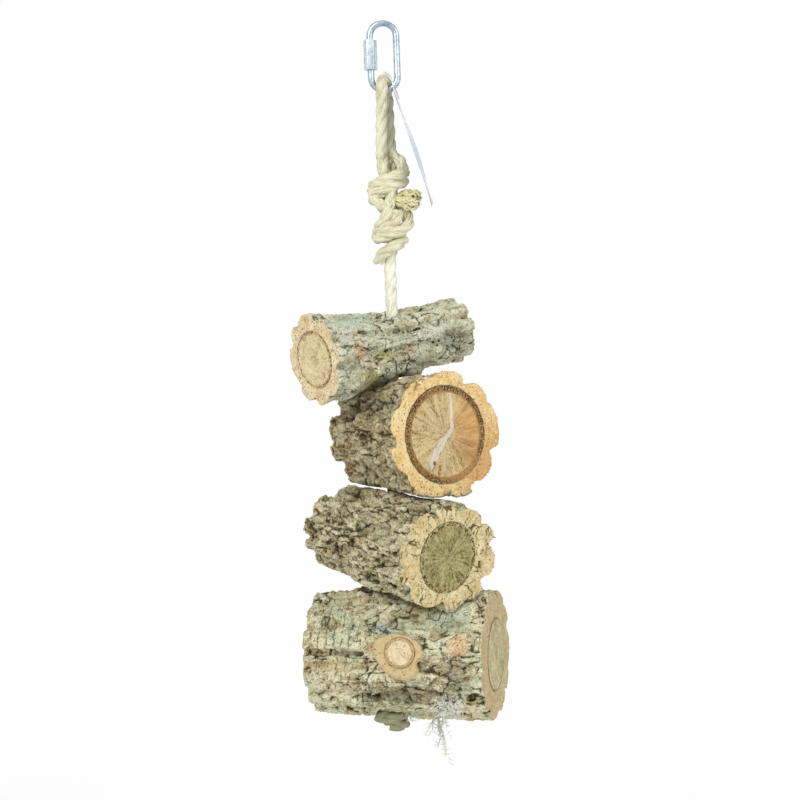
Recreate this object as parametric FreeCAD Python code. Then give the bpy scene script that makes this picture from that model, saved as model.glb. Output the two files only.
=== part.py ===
"""Bird perch: four cork-bark logs threaded on a knotted rope below a quick link.

Millimetres, +Z up, X to the right and Y away from the viewer. The origin is where the
cage bar bears, inside the top arch of the quick link.
"""
import FreeCAD
import Part
import math
import os
from dataclasses import dataclass

Vector = FreeCAD.Vector
UP = Vector(0, 0, 1)
ACROSS = Vector(0, 1, 0)

# quick link
LINK_WIRE = 4.0
LINK_HEIGHT = 44.4
LINK_WIDTH = 19.8
WIRE_SIDES = 16
ARCH_STEPS = 16
NUT_ACROSS_FLATS = 7.2
NUT_LENGTH = 18.6
NUT_BELOW_ARCH = 1.7
NUT_ENGAGEMENT = 2.4
NUT_TRAVEL = 4.5
NUT_BEVEL = 0.8
NUT_BEVEL_SIDES = 24
GATE_GAP = 5.5
THREAD_CLEARANCE = 0.08
BEND_CLEARANCE = 0.45
BEND_BORE_SPARE = 2.0

# rope
ROPE_DIAMETER = 7.0
ROPE_SIDES = 8
LOOP_STEPS = 12
CORD_ARC_STEPS = 3
LINK_TO_ROPE = 0.9
LOOP_SHIFT = -0.3
LOOP_TWIST = 76.0
FOOT_TWIST = 45.0
LEG_SPACING = 7.8
STEM_X = -0.7
STEM_SIDES = 14
STEM_SWING = 20.0
STEM_CLEARANCE = 0.4
ROPE_JOINT_GAP = 0.4

# knots
LEGS_ABOVE_KNOT = 39.0
UPPER_KNOT_HEIGHT = 32.0
LOWER_KNOT_HEIGHT = 33.5
KNOT_GAP = 0.4
KNOT_CORE_RADIUS = 7.8
WRAP_RADIUS = 9.3
WRAP_PITCH = 8.3
WRAP_TURNS = 2.0
WRAP_TILT = 17.0
WRAP_STEPS_PER_TURN = 12
KNOT_SIDES = 10
LOWER_WRAP_SHIFT = 2.2
WRAP_TUCK = 0.8
UPPER_WRAP_START = 200.0
LOWER_WRAP_START = 20.0
STEM_PIVOT_DEPTH = 5.0
FRAY_LENGTH = 18.5
FRAY_RADIUS = 7.0
FRAY_SIDES = 7
FRAY_LIFT = 2.0
FRAY_ROOT = (1.3, -1.0)
FRAY_HEADING = (0.97, -0.22, -0.06)
FRAY_PROFILE = ((0.0, 0.5), (0.4, 0.6), (0.72, 1.0), (1.0, 0.55))
BOTTOM_KNOT_HEIGHT = 14.0
BOTTOM_KNOT_WRAP_RADIUS = 5.8
BOTTOM_KNOT_TURNS = 0.84
BOTTOM_KNOT_PITCH = 7.6
BOTTOM_KNOT_CORE_RADIUS = 6.4
BOTTOM_KNOT_TUCK = 0.5

# stack of logs
STACK_TOP = -170.3
STACK_LEAN = 1.6
ROPE_HOLE_DIAMETER = 8.6
HOLE_ENTRY_DEPTH = 6.0
LOG_GAP = 0.5
KNOT_RECESS_DIAMETER = 22.0
KNOT_RECESS_DEPTH = 7.0
KNOT_SEAT_GAP = 0.3
PLATE_LENGTH = 34.0
BARK_STATIONS = 9
RIDGE_WANDER = 0.16
RIDGE_SWAY = 0.06
RIDGE_UNEVENNESS = 0.35
CROWN_UNEVENNESS = 0.25
CROWN_SHOULDERS = ((0.16, 1.0, 0.3), (0.36, 0.4, 0.0), (0.64, 0.0, 0.0), (0.86, 0.6, 0.0))
WOOD_SIDES = 22

# top log
TOP_HEADING = 217.0
TOP_DIP = 10.0
TOP_LENGTH = 109.0
TOP_MIDDLE = (-2.9, 2.2)
TOP_RADII = (20.3, 20.4, 27.9)
TOP_WIDEN = 0.92
TOP_RIDGES = 8
TOP_RIDGE_DEPTH = 4.2
TOP_RIDGE_START = 14.0
TOP_WOOD = 0.56
TOP_INNER_BARK = 1.4
TOP_TURN = (-40.0, 30.0)

# second log
SECOND_HEADING = -54.0
SECOND_DIP = 0.0
SECOND_LENGTH = 73.5
SECOND_MIDDLE = (9.4, -3.8)
SECOND_RADII = (31.6, 32.2, 38.3)
SECOND_WIDEN = 1.07
SECOND_RIDGES = 9
SECOND_RIDGE_DEPTH = 4.4
SECOND_RIDGE_START = -18.0
SECOND_WOOD = 0.65
SECOND_INNER_BARK = 4.2
SECOND_TURN = (-30.0, 15.0)

# third log
THIRD_HEADING = -50.0
THIRD_DIP = 8.0
THIRD_LENGTH = 99.0
THIRD_MIDDLE = (0.2, -7.9)
THIRD_RADII = (25.8, 27.8, 31.7)
THIRD_WIDEN = 1.22
THIRD_RIDGES = 10
THIRD_RIDGE_DEPTH = 4.8
THIRD_RIDGE_START = 8.0
THIRD_WOOD = 0.59
THIRD_INNER_BARK = 2.4
THIRD_TURN = (-45.0, 0.0)

# bottom log
BOTTOM_HEADING = -15.0
BOTTOM_DIP = 0.0
BOTTOM_LENGTH = 110.0
BOTTOM_MIDDLE = (7.4, 5.6)
BOTTOM_RADII = (37.0, 39.2, 39.2)
BOTTOM_WIDEN = 1.0
BOTTOM_RIDGES = 11
BOTTOM_RIDGE_DEPTH = 4.6
BOTTOM_RIDGE_START = 3.0
BOTTOM_WOOD = 0.53
BOTTOM_INNER_BARK = 1.2
STUB_SHIFT = 7.3
STUB_TILT = -6.0
STUB_WOOD_RADIUS = 7.2
STUB_INNER_BARK = 1.8
STUB_PROUD = 5.5
STUB_WOOD_DEPTH = 16.0
STUB_OUTLINE = ((0, 13.7), (20, 13.3), (38, 11.8), (64, 11.0), (90, 10.9), (115, 12.2), (136, 13.8),
                (153, 17.2), (172, 16.2), (192, 15.5), (225, 14.0), (255, 14.6), (283, 15.6),
                (303, 15.8), (318, 14.6), (328, 10.2), (340, 12.8))
STUB_FLARE = 1.3
STUB_SIDES = 20
FURROW_LENGTH = 38.0
FURROW_WIDTH = 7.0
FURROW_DEPTH = 6.0
FURROW_RISE = 3.0

# swing tag
TAG_LENGTH = 70.0
TAG_WIDTH = 36.0
TAG_THICKNESS = 0.6
TAG_CORNER = 11.0
TAG_HOLE_RADIUS = 1.6
TAG_HOLE_INSET = 4.0
TAG_LEAN = 16.5
TAG_TOP = (6.2, -40.2)
THREAD_DIAMETER = 0.8
THREAD_SIDES = 6
THREAD_OVER_ROPE = 0.4
THREAD_HALF_SPAN = 5.0
THREAD_WAIST = 0.64
THREAD_WAIST_RISE = 3.5
THREAD_SHOULDER = 4.9
THREAD_SHOULDER_DROP = 2.6
THREAD_HOLE_RISE = 2.2
THREAD_HOLE_STEP = 1.3

# beard lichen
LICHEN_STEM_RADIUS = 0.9
LICHEN_TIP_RADIUS = 0.35
LICHEN_SIDES = 5
LICHEN_ROOT_DEPTH = 3.0
LICHEN_TUFTS = ((26.0, -8.0, 31.0), (12.0, -10.0, 12.0))
LICHEN_FAN = ((0.10, -0.06, 1.0), (-0.10, 0.07, 0.66), (0.20, 0.36, 0.5))


@dataclass
class Log:
    """One log: sizes at the far end, at the rope and at the sawn face seen from the front."""

    name: str
    heading: float
    dip: float
    length: float
    middle: tuple
    radii: tuple
    widen: float
    ridges: int
    ridge_depth: float
    ridge_start: float
    wood: float
    inner_bark: float

    def direction(self):
        """Plan direction from the far end to the face."""
        turn = math.radians(self.heading)
        return math.cos(turn), math.sin(turn)

    def rope_station(self):
        """Distance along the log from its middle to the rope."""
        along_x, along_y = self.direction()
        return -(self.middle[0] * along_x + self.middle[1] * along_y)

    def radius(self, station):
        """Half the height over the ridge crowns, on a smooth curve through the three radii."""
        places = (-self.length / 2, self.rope_station(), self.length / 2)
        total = 0.0
        for i in range(3):
            weight = self.radii[i]
            for j in range(3):
                if i != j:
                    weight *= (station - places[j]) / (places[i] - places[j])
            total += weight
        return total

    def surface(self, x, y, side):
        """Height of the top (side 1) or the underside (side -1) over a plan point, from the
        log's axis at the rope, or None where the log doesn't reach."""
        along_x, along_y = self.direction()
        run = (x - self.middle[0]) * along_x + (y - self.middle[1]) * along_y
        off = (y - self.middle[1]) * along_x - (x - self.middle[0]) * along_y
        level = math.cos(math.radians(self.dip))
        if abs(run / level) > self.length / 2:
            return None
        radius = self.radius(run / level)
        share = off / (radius * self.widen)
        if abs(share) >= 1:
            return None
        fall = (run - self.rope_station()) * math.tan(math.radians(self.dip))
        return side * radius * math.sqrt(1 - share * share) / level - fall

    def place(self, shape, axis_height):
        """Carry a shape from the log's own frame, X along the log, to its place on the rope."""
        placed = shape.copy()
        placed.translate(Vector(-self.rope_station(), 0, 0))
        placed.rotate(Vector(), ACROSS, self.dip)
        placed.rotate(Vector(), UP, self.heading)
        along_x, along_y = self.direction()
        run = self.rope_station()
        placed.translate(Vector(self.middle[0] + run * along_x, self.middle[1] + run * along_y, axis_height))
        return placed


TOP_LOG = Log("top_log", TOP_HEADING, TOP_DIP, TOP_LENGTH, TOP_MIDDLE, TOP_RADII, TOP_WIDEN,
              TOP_RIDGES, TOP_RIDGE_DEPTH, TOP_RIDGE_START, TOP_WOOD, TOP_INNER_BARK)
SECOND_LOG = Log("second_log", SECOND_HEADING, SECOND_DIP, SECOND_LENGTH, SECOND_MIDDLE, SECOND_RADII,
                 SECOND_WIDEN, SECOND_RIDGES, SECOND_RIDGE_DEPTH, SECOND_RIDGE_START, SECOND_WOOD,
                 SECOND_INNER_BARK)
THIRD_LOG = Log("third_log", THIRD_HEADING, THIRD_DIP, THIRD_LENGTH, THIRD_MIDDLE, THIRD_RADII,
                THIRD_WIDEN, THIRD_RIDGES, THIRD_RIDGE_DEPTH, THIRD_RIDGE_START, THIRD_WOOD,
                THIRD_INNER_BARK)
BOTTOM_LOG = Log("bottom_log", BOTTOM_HEADING, BOTTOM_DIP, BOTTOM_LENGTH, BOTTOM_MIDDLE, BOTTOM_RADII,
                 BOTTOM_WIDEN, BOTTOM_RIDGES, BOTTOM_RIDGE_DEPTH, BOTTOM_RIDGE_START, BOTTOM_WOOD,
                 BOTTOM_INNER_BARK)

ROPE_RADIUS = ROPE_DIAMETER / 2
WIRE_RADIUS = LINK_WIRE / 2
ARCH_RADIUS = (LINK_WIDTH - LINK_WIRE) / 2
ARCH_TOP_CENTRE = WIRE_RADIUS - ARCH_RADIUS
ARCH_BOTTOM_CENTRE = ARCH_TOP_CENTRE - (LINK_HEIGHT - LINK_WIDTH)
BAR_HEIGHT = ARCH_BOTTOM_CENTRE - ARCH_RADIUS
LOOP_RADIUS = WIRE_RADIUS + LINK_TO_ROPE + ROPE_RADIUS
UPPER_KNOT_TOP = BAR_HEIGHT - LEGS_ABOVE_KNOT
UPPER_KNOT_BOTTOM = UPPER_KNOT_TOP - UPPER_KNOT_HEIGHT
LOWER_KNOT_TOP = UPPER_KNOT_BOTTOM - KNOT_GAP
LOWER_KNOT_BOTTOM = LOWER_KNOT_TOP - LOWER_KNOT_HEIGHT
STEM_PIVOT = LOWER_KNOT_BOTTOM + STEM_PIVOT_DEPTH


def keep(shape, name):
    """Write one named piece."""
    os.makedirs("parts", exist_ok=True)
    shape.exportStep("parts/" + name + ".step")
    print(name, "solids", len(shape.Solids), "volume", round(shape.Volume, 1), "valid", shape.isValid())


def ring_of_points(centre, tangent, side, radius, sides):
    """Corners of a many-sided section square to a direction, the first one half a side round."""
    tangent = tangent.normalize()
    side = (side - tangent * side.dot(tangent)).normalize()
    other = tangent.cross(side)
    corners = []
    for i in range(sides):
        turn = 2 * math.pi * (i + 0.5) / sides
        corners.append(centre + side * (radius * math.cos(turn)) + other * (radius * math.sin(turn)))
    return corners


def outline(corners):
    """Closed wire through a run of corners."""
    return Part.makePolygon(corners + corners[:1])


def flat_face(corners):
    """Flat face inside a closed run of corners."""
    return Part.Face(outline(corners))


def skinned(sections):
    """Solid over matching outlines, closed between each two outlines by flat facets."""
    faces = [flat_face(sections[0]), flat_face(sections[-1])]
    for first, second in zip(sections, sections[1:]):
        for i in range(len(first)):
            j = (i + 1) % len(first)
            corner = (second[j] - first[i]).dot((first[j] - first[i]).cross(second[i] - first[i]))
            if abs(corner) < 1e-6:
                faces.append(flat_face([first[i], first[j], second[j], second[i]]))
            else:
                faces.append(flat_face([first[i], first[j], second[j]]))
                faces.append(flat_face([first[i], second[j], second[i]]))
    solid = Part.Solid(Part.Shell(faces))
    if solid.Volume < 0:
        solid.reverse()
    return solid


def flat_radius(diameter, sides):
    """Corner radius of a many-sided section as large across as a round cord in area."""
    area = math.pi * diameter * diameter / 4
    return math.sqrt(2 * area / (sides * math.sin(2 * math.pi / sides)))


def arc_points(first, middle, last, steps):
    """Points along a round arc, from its first to its last."""
    arc = Part.Arc(first, middle, last)
    low, high = arc.FirstParameter, arc.LastParameter
    return [arc.value(low + (high - low) * i / steps) for i in range(steps + 1)]


def tube(path, side, radius, sides):
    """Many-sided tube through the points of a path, its corners kept in line by a side direction."""
    last = len(path) - 1
    sections = []
    for i in range(last + 1):
        ahead = Vector(0, 0, 0)
        if i > 0:
            ahead += (path[i] - path[i - 1]).normalize()
        if i < last:
            ahead += (path[i + 1] - path[i]).normalize()
        sections.append(ring_of_points(path[i], ahead, side, radius, sides))
    return skinned(sections)


def cord_path(points, label):
    """Straight runs joined by tangent arcs, each arc as large as its two runs allow."""
    path = [points[0]]
    for i in range(1, len(points) - 1):
        into = points[i] - points[i - 1]
        out = points[i + 1] - points[i]
        half_turn = into.getAngle(out) / 2
        set_back = 0.45 * min(into.Length, out.Length)
        radius = set_back / math.tan(half_turn)
        print(label, "arc radius", round(radius, 2))
        first = points[i] - into.normalize() * set_back
        last = points[i] + out.normalize() * set_back
        inward = (out - into).normalize()
        sagitta = radius / math.cos(half_turn) - radius
        path += arc_points(first, points[i] + inward * sagitta, last, CORD_ARC_STEPS)
    path.append(points[-1])
    return path


def path_length(path):
    """Length of a run of points."""
    return sum((after - before).Length for before, after in zip(path, path[1:]))


def link_rod():
    """Bent wire of the link, open on the left where the nut bridges its two threaded ends."""
    upper_end = ARCH_TOP_CENTRE - NUT_BELOW_ARCH - NUT_ENGAGEMENT
    lower_end = upper_end - GATE_GAP
    left = -ARCH_RADIUS
    right = ARCH_RADIUS
    top = ARCH_TOP_CENTRE
    low = ARCH_BOTTOM_CENTRE
    path = [Vector(left, 0, upper_end)]
    path += arc_points(Vector(left, 0, top), Vector(0, 0, top + ARCH_RADIUS), Vector(right, 0, top), ARCH_STEPS)
    path += arc_points(Vector(right, 0, low), Vector(0, 0, low - ARCH_RADIUS), Vector(left, 0, low), ARCH_STEPS)
    path.append(Vector(left, 0, lower_end))
    return tube(path, ACROSS, flat_radius(LINK_WIRE, WIRE_SIDES), WIRE_SIDES)


def gate_nut():
    """Long six-sided sleeve nut, bevelled at both ends, bored wider below to pass the bend."""
    corner = NUT_ACROSS_FLATS / 2 / math.cos(math.radians(30))
    top = ARCH_TOP_CENTRE - NUT_BELOW_ARCH
    base = top - NUT_LENGTH
    start = Vector(0, 0, base)
    prism = flat_face(ring_of_points(start, Vector(UP), Vector(1, 0, 0), corner, 6)).extrude(UP * NUT_LENGTH)
    inner = corner - NUT_BEVEL
    barrel = []
    for height, reach in ((base, inner), (base + NUT_BEVEL, corner), (top - NUT_BEVEL, corner), (top, inner)):
        barrel.append(ring_of_points(Vector(0, 0, height), Vector(UP), ACROSS, reach, NUT_BEVEL_SIDES))
    nut = prism.common(skinned(barrel))
    for clearance, depth in ((THREAD_CLEARANCE, NUT_LENGTH), (BEND_CLEARANCE, NUT_TRAVEL + BEND_BORE_SPARE)):
        radius = (WIRE_RADIUS + clearance) / math.cos(math.pi / WIRE_SIDES)
        bore = flat_face(ring_of_points(start, Vector(UP), ACROSS, radius, WIRE_SIDES)).extrude(UP * depth)
        nut = nut.cut(bore)
    nut.translate(Vector(-ARCH_RADIUS, 0, 0))
    return nut


def rope_loop():
    """Rope doubled over the bottom bar of the link, its two legs twisting a little towards the knot."""
    turn = math.radians(LOOP_TWIST)
    outward = Vector(math.cos(turn), math.sin(turn), 0)
    foot_turn = math.radians(FOOT_TWIST)
    foot_side = Vector(math.cos(foot_turn), math.sin(foot_turn), 0) * (LEG_SPACING / 2)
    foot_drop = LEGS_ABOVE_KNOT - KNOT_GAP
    bar = Vector(LOOP_SHIFT, 0, BAR_HEIGHT)
    knot = Vector(STEM_X, 0, BAR_HEIGHT - foot_drop)
    foot_reach = math.hypot(LEG_SPACING / 2, foot_drop)
    angle = math.acos(LOOP_RADIUS / foot_reach) - math.atan2(foot_drop, LEG_SPACING / 2)
    aside = outward * (LOOP_RADIUS * math.cos(angle))
    rise = UP * (LOOP_RADIUS * math.sin(angle))
    bight = arc_points(bar + aside + rise, bar + UP * LOOP_RADIUS, bar - aside + rise, LOOP_STEPS)
    path = [knot + foot_side] + bight + [knot - foot_side]
    print("rope_loop arc radius", round(LOOP_RADIUS, 2), "length", round(path_length(path), 1))
    return tube(path, UP.cross(outward), flat_radius(ROPE_DIAMETER, ROPE_SIDES), ROPE_SIDES)


def wrap(radius, pitch, turns, tuck):
    """Rope wound about Z, centred on the origin, with both ends tucked in towards the axis."""
    steps = int(turns * WRAP_STEPS_PER_TURN)
    corner = flat_radius(ROPE_DIAMETER, ROPE_SIDES)
    centres = []
    for i in range(steps + 1):
        turn = 2 * math.pi * i / WRAP_STEPS_PER_TURN
        inset = max(0, 1 - i / 2, 1 - (steps - i) / 2)
        reach = radius - tuck * inset
        height = pitch * (i / WRAP_STEPS_PER_TURN - turns / 2)
        centres.append(Vector(reach * math.cos(turn), reach * math.sin(turn), height))
    sections = []
    for i in range(steps + 1):
        ahead = centres[min(i + 1, steps)] - centres[max(i - 1, 0)]
        sections.append(ring_of_points(centres[i], ahead, Vector(UP), corner, ROPE_SIDES))
    return skinned(sections)


def knot_core(top, bottom, radius):
    """Rope strands inside a knot, drawn together as one many-sided column with rounded ends."""
    shoulder = radius * 0.35
    sections = []
    for height, share in ((bottom, 0.78), (bottom + shoulder, 1), (top - shoulder, 1), (top, 0.78)):
        centre = Vector(0, 0, height)
        sections.append(ring_of_points(centre, Vector(UP), Vector(1, 0, 0), radius * share, KNOT_SIDES))
    return skinned(sections)


def wrapped_knot(top, bottom, shift, start):
    """Knot of two slanting wraps round a core, on the rope's line."""
    coil = wrap(WRAP_RADIUS, WRAP_PITCH, WRAP_TURNS, ROPE_RADIUS * WRAP_TUCK)
    coil.rotate(Vector(), UP, start)
    coil.rotate(Vector(), ACROSS, -WRAP_TILT)
    coil.translate(Vector(shift, 0, (top + bottom) / 2))
    knot = knot_core(top, bottom, KNOT_CORE_RADIUS).fuse(coil)
    knot.translate(Vector(STEM_X, 0, 0))
    return knot.removeSplitter()


def upper_knot():
    """First knot below the link, where both legs are tied off."""
    return wrapped_knot(UPPER_KNOT_TOP, UPPER_KNOT_BOTTOM, 0, UPPER_WRAP_START)


def stem_socket():
    """Room at the lower knot's mouth for the stem's rounded top, opening downwards."""
    radius = ROPE_RADIUS + STEM_CLEARANCE
    swing = math.radians(STEM_SWING + 1)
    flat = radius * math.tan(math.radians(22.5))
    neck = radius / math.cos(swing)
    drop = STEM_PIVOT_DEPTH + 1
    sections = []
    for height, reach in ((-drop, neck + drop * math.tan(swing)), (0, neck), (flat, radius), (radius, flat)):
        centre = Vector(STEM_X, 0, STEM_PIVOT + height)
        corner = reach / math.cos(math.pi / STEM_SIDES)
        sections.append(ring_of_points(centre, Vector(UP), Vector(1, 0, 0), corner, STEM_SIDES))
    return skinned(sections)


def lower_knot():
    """Second knot, from whose underside the single stem hangs and can swing."""
    knot = wrapped_knot(LOWER_KNOT_TOP, LOWER_KNOT_BOTTOM, LOWER_WRAP_SHIFT, LOWER_WRAP_START)
    return knot.cut(stem_socket())


def frayed_end(upper, lower):
    """Cut rope end that sticks out between the two knots and has opened into a brush."""
    height = (UPPER_KNOT_BOTTOM + LOWER_KNOT_TOP) / 2 + FRAY_LIFT
    root = Vector(FRAY_ROOT[0], FRAY_ROOT[1], height)
    heading = Vector(*FRAY_HEADING)
    sections = []
    for along, share in FRAY_PROFILE:
        centre = root + heading * (FRAY_LENGTH * along)
        sections.append(ring_of_points(centre, Vector(heading), ACROSS, FRAY_RADIUS * share, FRAY_SIDES))
    return skinned(sections).cut(upper).cut(lower)


def rope_stem(entry):
    """Single straight rope from the lower knot to just inside the top log's hole."""
    sections = []
    for height, share in ((entry, 1), (0, 1), (0.5 * ROPE_RADIUS, 0.866), (0.866 * ROPE_RADIUS, 0.5)):
        centre = Vector(STEM_X, 0, STEM_PIVOT + height)
        sections.append(ring_of_points(centre, Vector(UP), Vector(1, 0, 0), ROPE_RADIUS * share, STEM_SIDES))
    return skinned(sections)


def bottom_knot(seat):
    """Stopper knot that carries the logs, one wrap round the rope's end."""
    tuck = ROPE_RADIUS * BOTTOM_KNOT_TUCK
    coil = wrap(BOTTOM_KNOT_WRAP_RADIUS, BOTTOM_KNOT_PITCH, BOTTOM_KNOT_TURNS, tuck)
    coil.translate(Vector(0, 0, seat - BOTTOM_KNOT_HEIGHT / 2))
    core = knot_core(seat, seat - BOTTOM_KNOT_HEIGHT, BOTTOM_KNOT_CORE_RADIUS)
    return core.fuse(coil)


def bark_outline(log, station):
    """Corners of one bark section: a flattened crown over each cork ridge, with a furrow between."""
    high = log.radius(station)
    plate = 2 * math.pi * station / PLATE_LENGTH
    pitch = 2 * math.pi / log.ridges
    corners = []
    for i in range(log.ridges):
        edges = []
        for k in (i, (i + 1) % log.ridges):
            wander = RIDGE_WANDER * math.sin(2.3 * k) + RIDGE_SWAY * math.sin(1.7 * k + 0.4 * plate)
            edges.append(math.radians(log.ridge_start) + pitch * (k + wander))
        if edges[1] < edges[0]:
            edges[1] += 2 * math.pi
        depth = log.ridge_depth * (1 + RIDGE_UNEVENNESS * math.sin(3.1 * i + 0.7 * plate))
        drop = log.ridge_depth * CROWN_UNEVENNESS * (1 + math.sin(1.9 * i + plate))
        for share, fall, lip in ((0, 0, 1),) + CROWN_SHOULDERS:
            angle = edges[0] + (edges[1] - edges[0]) * share
            reach = high - fall * drop - lip * depth
            corners.append(Vector(station, reach * log.widen * math.sin(angle), reach * math.cos(angle)))
    return corners


def bark_body(log):
    """Whole log over its cork ridges."""
    steps = BARK_STATIONS - 1
    return skinned([bark_outline(log, log.length * (i / steps - 0.5)) for i in range(steps + 1)])


def heartwood_body(log, extra, reach):
    """Tapered many-sided core of the log, grown by extra on the radius and by reach at each end."""
    far = log.radii[0] * log.wood + extra
    near = log.radii[2] * log.wood + extra
    slope = (near - far) / log.length
    sections = []
    for end in (-1, 1):
        centre = Vector(end * (log.length / 2 + reach), 0, 0)
        radius = (far + near) / 2 + slope * centre.x
        sections.append(ring_of_points(centre, Vector(1, 0, 0), Vector(UP), radius, WOOD_SIDES))
    return skinned(sections)


def drilled(shape, log, axis_height):
    """A log piece on the rope's line, with the rope's hole drilled through it."""
    placed = log.place(shape, axis_height)
    box = placed.BoundBox
    hole = Part.makeCylinder(ROPE_HOLE_DIAMETER / 2, box.ZLength + 2, Vector(0, 0, box.ZMin - 1))
    return placed.cut(hole)


def seated(upper, lower, turn_range):
    """Distance between two logs' axes at the rope, so that they clear over the upper one's turns."""
    spacing = 0.0
    reach = max(upper.length, lower.length) / 2
    samples = 25
    for k in range(5):
        turn = math.radians(turn_range[0] + (turn_range[1] - turn_range[0]) * k / 4)
        for i in range(samples):
            for j in range(samples):
                x = reach * (2 * i / (samples - 1) - 1)
                y = reach * (2 * j / (samples - 1) - 1)
                back_x = x * math.cos(turn) + y * math.sin(turn)
                back_y = y * math.cos(turn) - x * math.sin(turn)
                below = lower.surface(x, y, 1)
                above = upper.surface(back_x, back_y, -1)
                if below is not None and above is not None:
                    spacing = max(spacing, below - above)
    return spacing + LOG_GAP


def stub_outline(flare, height):
    """Corners of the cut branch's uneven cork, level at a height above the log's axis."""
    corners = []
    for degrees, reach in STUB_OUTLINE:
        turn = math.radians(degrees)
        corners.append(Vector(flare * reach * math.cos(turn), flare * reach * math.sin(turn), height))
    return corners


def front_facing(shape):
    """Turn a shape built along Z so that it stands out of the log's side towards the viewer."""
    placed = shape.copy()
    placed.rotate(Vector(), Vector(1, 0, 0), 90 + STUB_TILT)
    placed.translate(Vector(STUB_SHIFT, 0, 0))
    return placed


def branch_collar(log):
    """Cork round the cut branch, flaring into the bark at its root."""
    face = log.radius(STUB_SHIFT) * log.widen + STUB_PROUD
    root = face - STUB_WOOD_DEPTH
    return front_facing(skinned([stub_outline(STUB_FLARE, root), stub_outline(1, face)]))


def branch_core(log, radius, depth):
    """Round plug along the branch, as deep below its cut face as asked."""
    face = log.radius(STUB_SHIFT) * log.widen + STUB_PROUD
    sections = []
    for height in (face - depth, face):
        sections.append(ring_of_points(Vector(0, 0, height), Vector(UP), Vector(1, 0, 0), radius, STUB_SIDES))
    return front_facing(skinned(sections))


def furrow(log):
    """Deep crack along the front of the bottom log, from its far end towards the branch."""
    side = -log.radius(-log.length / 2) * log.widen
    half = FURROW_WIDTH / 2
    corners = []
    for inward, rise in ((-half, half), (FURROW_DEPTH, 0), (-half, -half)):
        corners.append(Vector(-log.length, side + inward, rise + FURROW_RISE))
    return flat_face(corners).extrude(Vector(log.length / 2 + FURROW_LENGTH, 0, 0))


def log_pieces(log):
    """Bark, inner bark ring and wood of a log in its own frame, each nested in the last."""
    whole = bark_body(log)
    cork = whole.cut(heartwood_body(log, log.inner_bark, 1))
    ring = heartwood_body(log, log.inner_bark, 0).cut(heartwood_body(log, 0, 1))
    return {"bark": cork, "inner_bark": ring, "wood": heartwood_body(log, 0, 0)}


def lean(shape):
    """Tip a piece of the stack about the rope's entry, as it hangs below the stem."""
    placed = shape.copy()
    placed.rotate(Vector(), ACROSS, STACK_LEAN)
    placed.translate(Vector(STEM_X, 0, STACK_TOP))
    return placed


def tag_card():
    """Blank swing tag seen on edge, with clipped top corners and a thread hole."""
    half = TAG_WIDTH / 2
    tip = half - TAG_CORNER
    side = [Vector(0, half, -TAG_LENGTH), Vector(0, half, -TAG_CORNER), Vector(0, tip, 0)]
    corners = side + [Vector(0, -corner.y, corner.z) for corner in side[::-1]]
    card = flat_face(corners).extrude(Vector(TAG_THICKNESS, 0, 0))
    start = Vector(-TAG_THICKNESS, 0, -TAG_HOLE_INSET)
    hole = Part.makeCylinder(TAG_HOLE_RADIUS, TAG_THICKNESS * 3, start, Vector(1, 0, 0))
    card = card.cut(hole)
    card.rotate(Vector(), ACROSS, -TAG_LEAN)
    card.translate(Vector(TAG_TOP[0], 0, TAG_TOP[1]))
    return card


def tag_thread():
    """Thread through the tag's hole, up on both sides of the link's bar and over the rope's bight."""
    lean_angle = math.radians(TAG_LEAN)
    card_up = Vector(-math.sin(lean_angle), 0, math.cos(lean_angle))
    card_out = Vector(math.cos(lean_angle), 0, math.sin(lean_angle))
    hole = Vector(TAG_TOP[0], 0, TAG_TOP[1]) - card_up * TAG_HOLE_INSET + card_out * (TAG_THICKNESS / 2)
    rope_top = BAR_HEIGHT + LOOP_RADIUS + flat_radius(ROPE_DIAMETER, ROPE_SIDES)
    crown = rope_top + THREAD_OVER_ROPE + THREAD_DIAMETER
    span = THREAD_HALF_SPAN
    legs = []
    for side in (-1, 1):
        step = card_out * (side * THREAD_HOLE_STEP) + ACROSS * (side * THREAD_HOLE_STEP)
        waist = Vector(hole.x * THREAD_WAIST, side * span, BAR_HEIGHT + THREAD_WAIST_RISE)
        shoulder = Vector(LOOP_SHIFT + THREAD_SHOULDER, side * span, crown - THREAD_SHOULDER_DROP)
        top = Vector(LOOP_SHIFT, side * span / 2, crown)
        legs.append([hole + step * 0.4, hole + card_up * THREAD_HOLE_RISE + step, waist, shoulder, top])
    path = cord_path(legs[0] + legs[1][::-1], "tag_thread")
    print("tag_thread length", round(path_length(path), 1))
    return tube(path, card_out, flat_radius(THREAD_DIAMETER, THREAD_SIDES), THREAD_SIDES)


def wisp(points):
    """One tapering thread of lichen along a few chosen points."""
    last = len(points) - 1
    sections = []
    for i in range(last + 1):
        ahead = points[min(i + 1, last)] - points[max(i - 1, 0)]
        radius = LICHEN_STEM_RADIUS + (LICHEN_TIP_RADIUS - LICHEN_STEM_RADIUS) * i / last
        sections.append(ring_of_points(points[i], ahead, Vector(1, 0.3, 0), radius, LICHEN_SIDES))
    return skinned(sections)


def beard_lichen(underside, bark):
    """Hanging tufts of beard lichen rooted in the underside of the bottom log's bark."""
    solids = []
    for x, y, length in LICHEN_TUFTS:
        root = Vector(x, y, underside + LICHEN_ROOT_DEPTH)
        tuft = None
        for bow, sweep, share in LICHEN_FAN:
            reach = length * share
            middle = root + Vector(bow * reach, sweep * reach, -reach / 2)
            tip = root + Vector(sweep * length, bow * reach, -reach)
            strand = wisp([root, middle, tip])
            tuft = strand if tuft is None else tuft.fuse(strand)
        solids += tuft.cut(bark).Solids
    return Part.makeCompound(solids)


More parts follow.
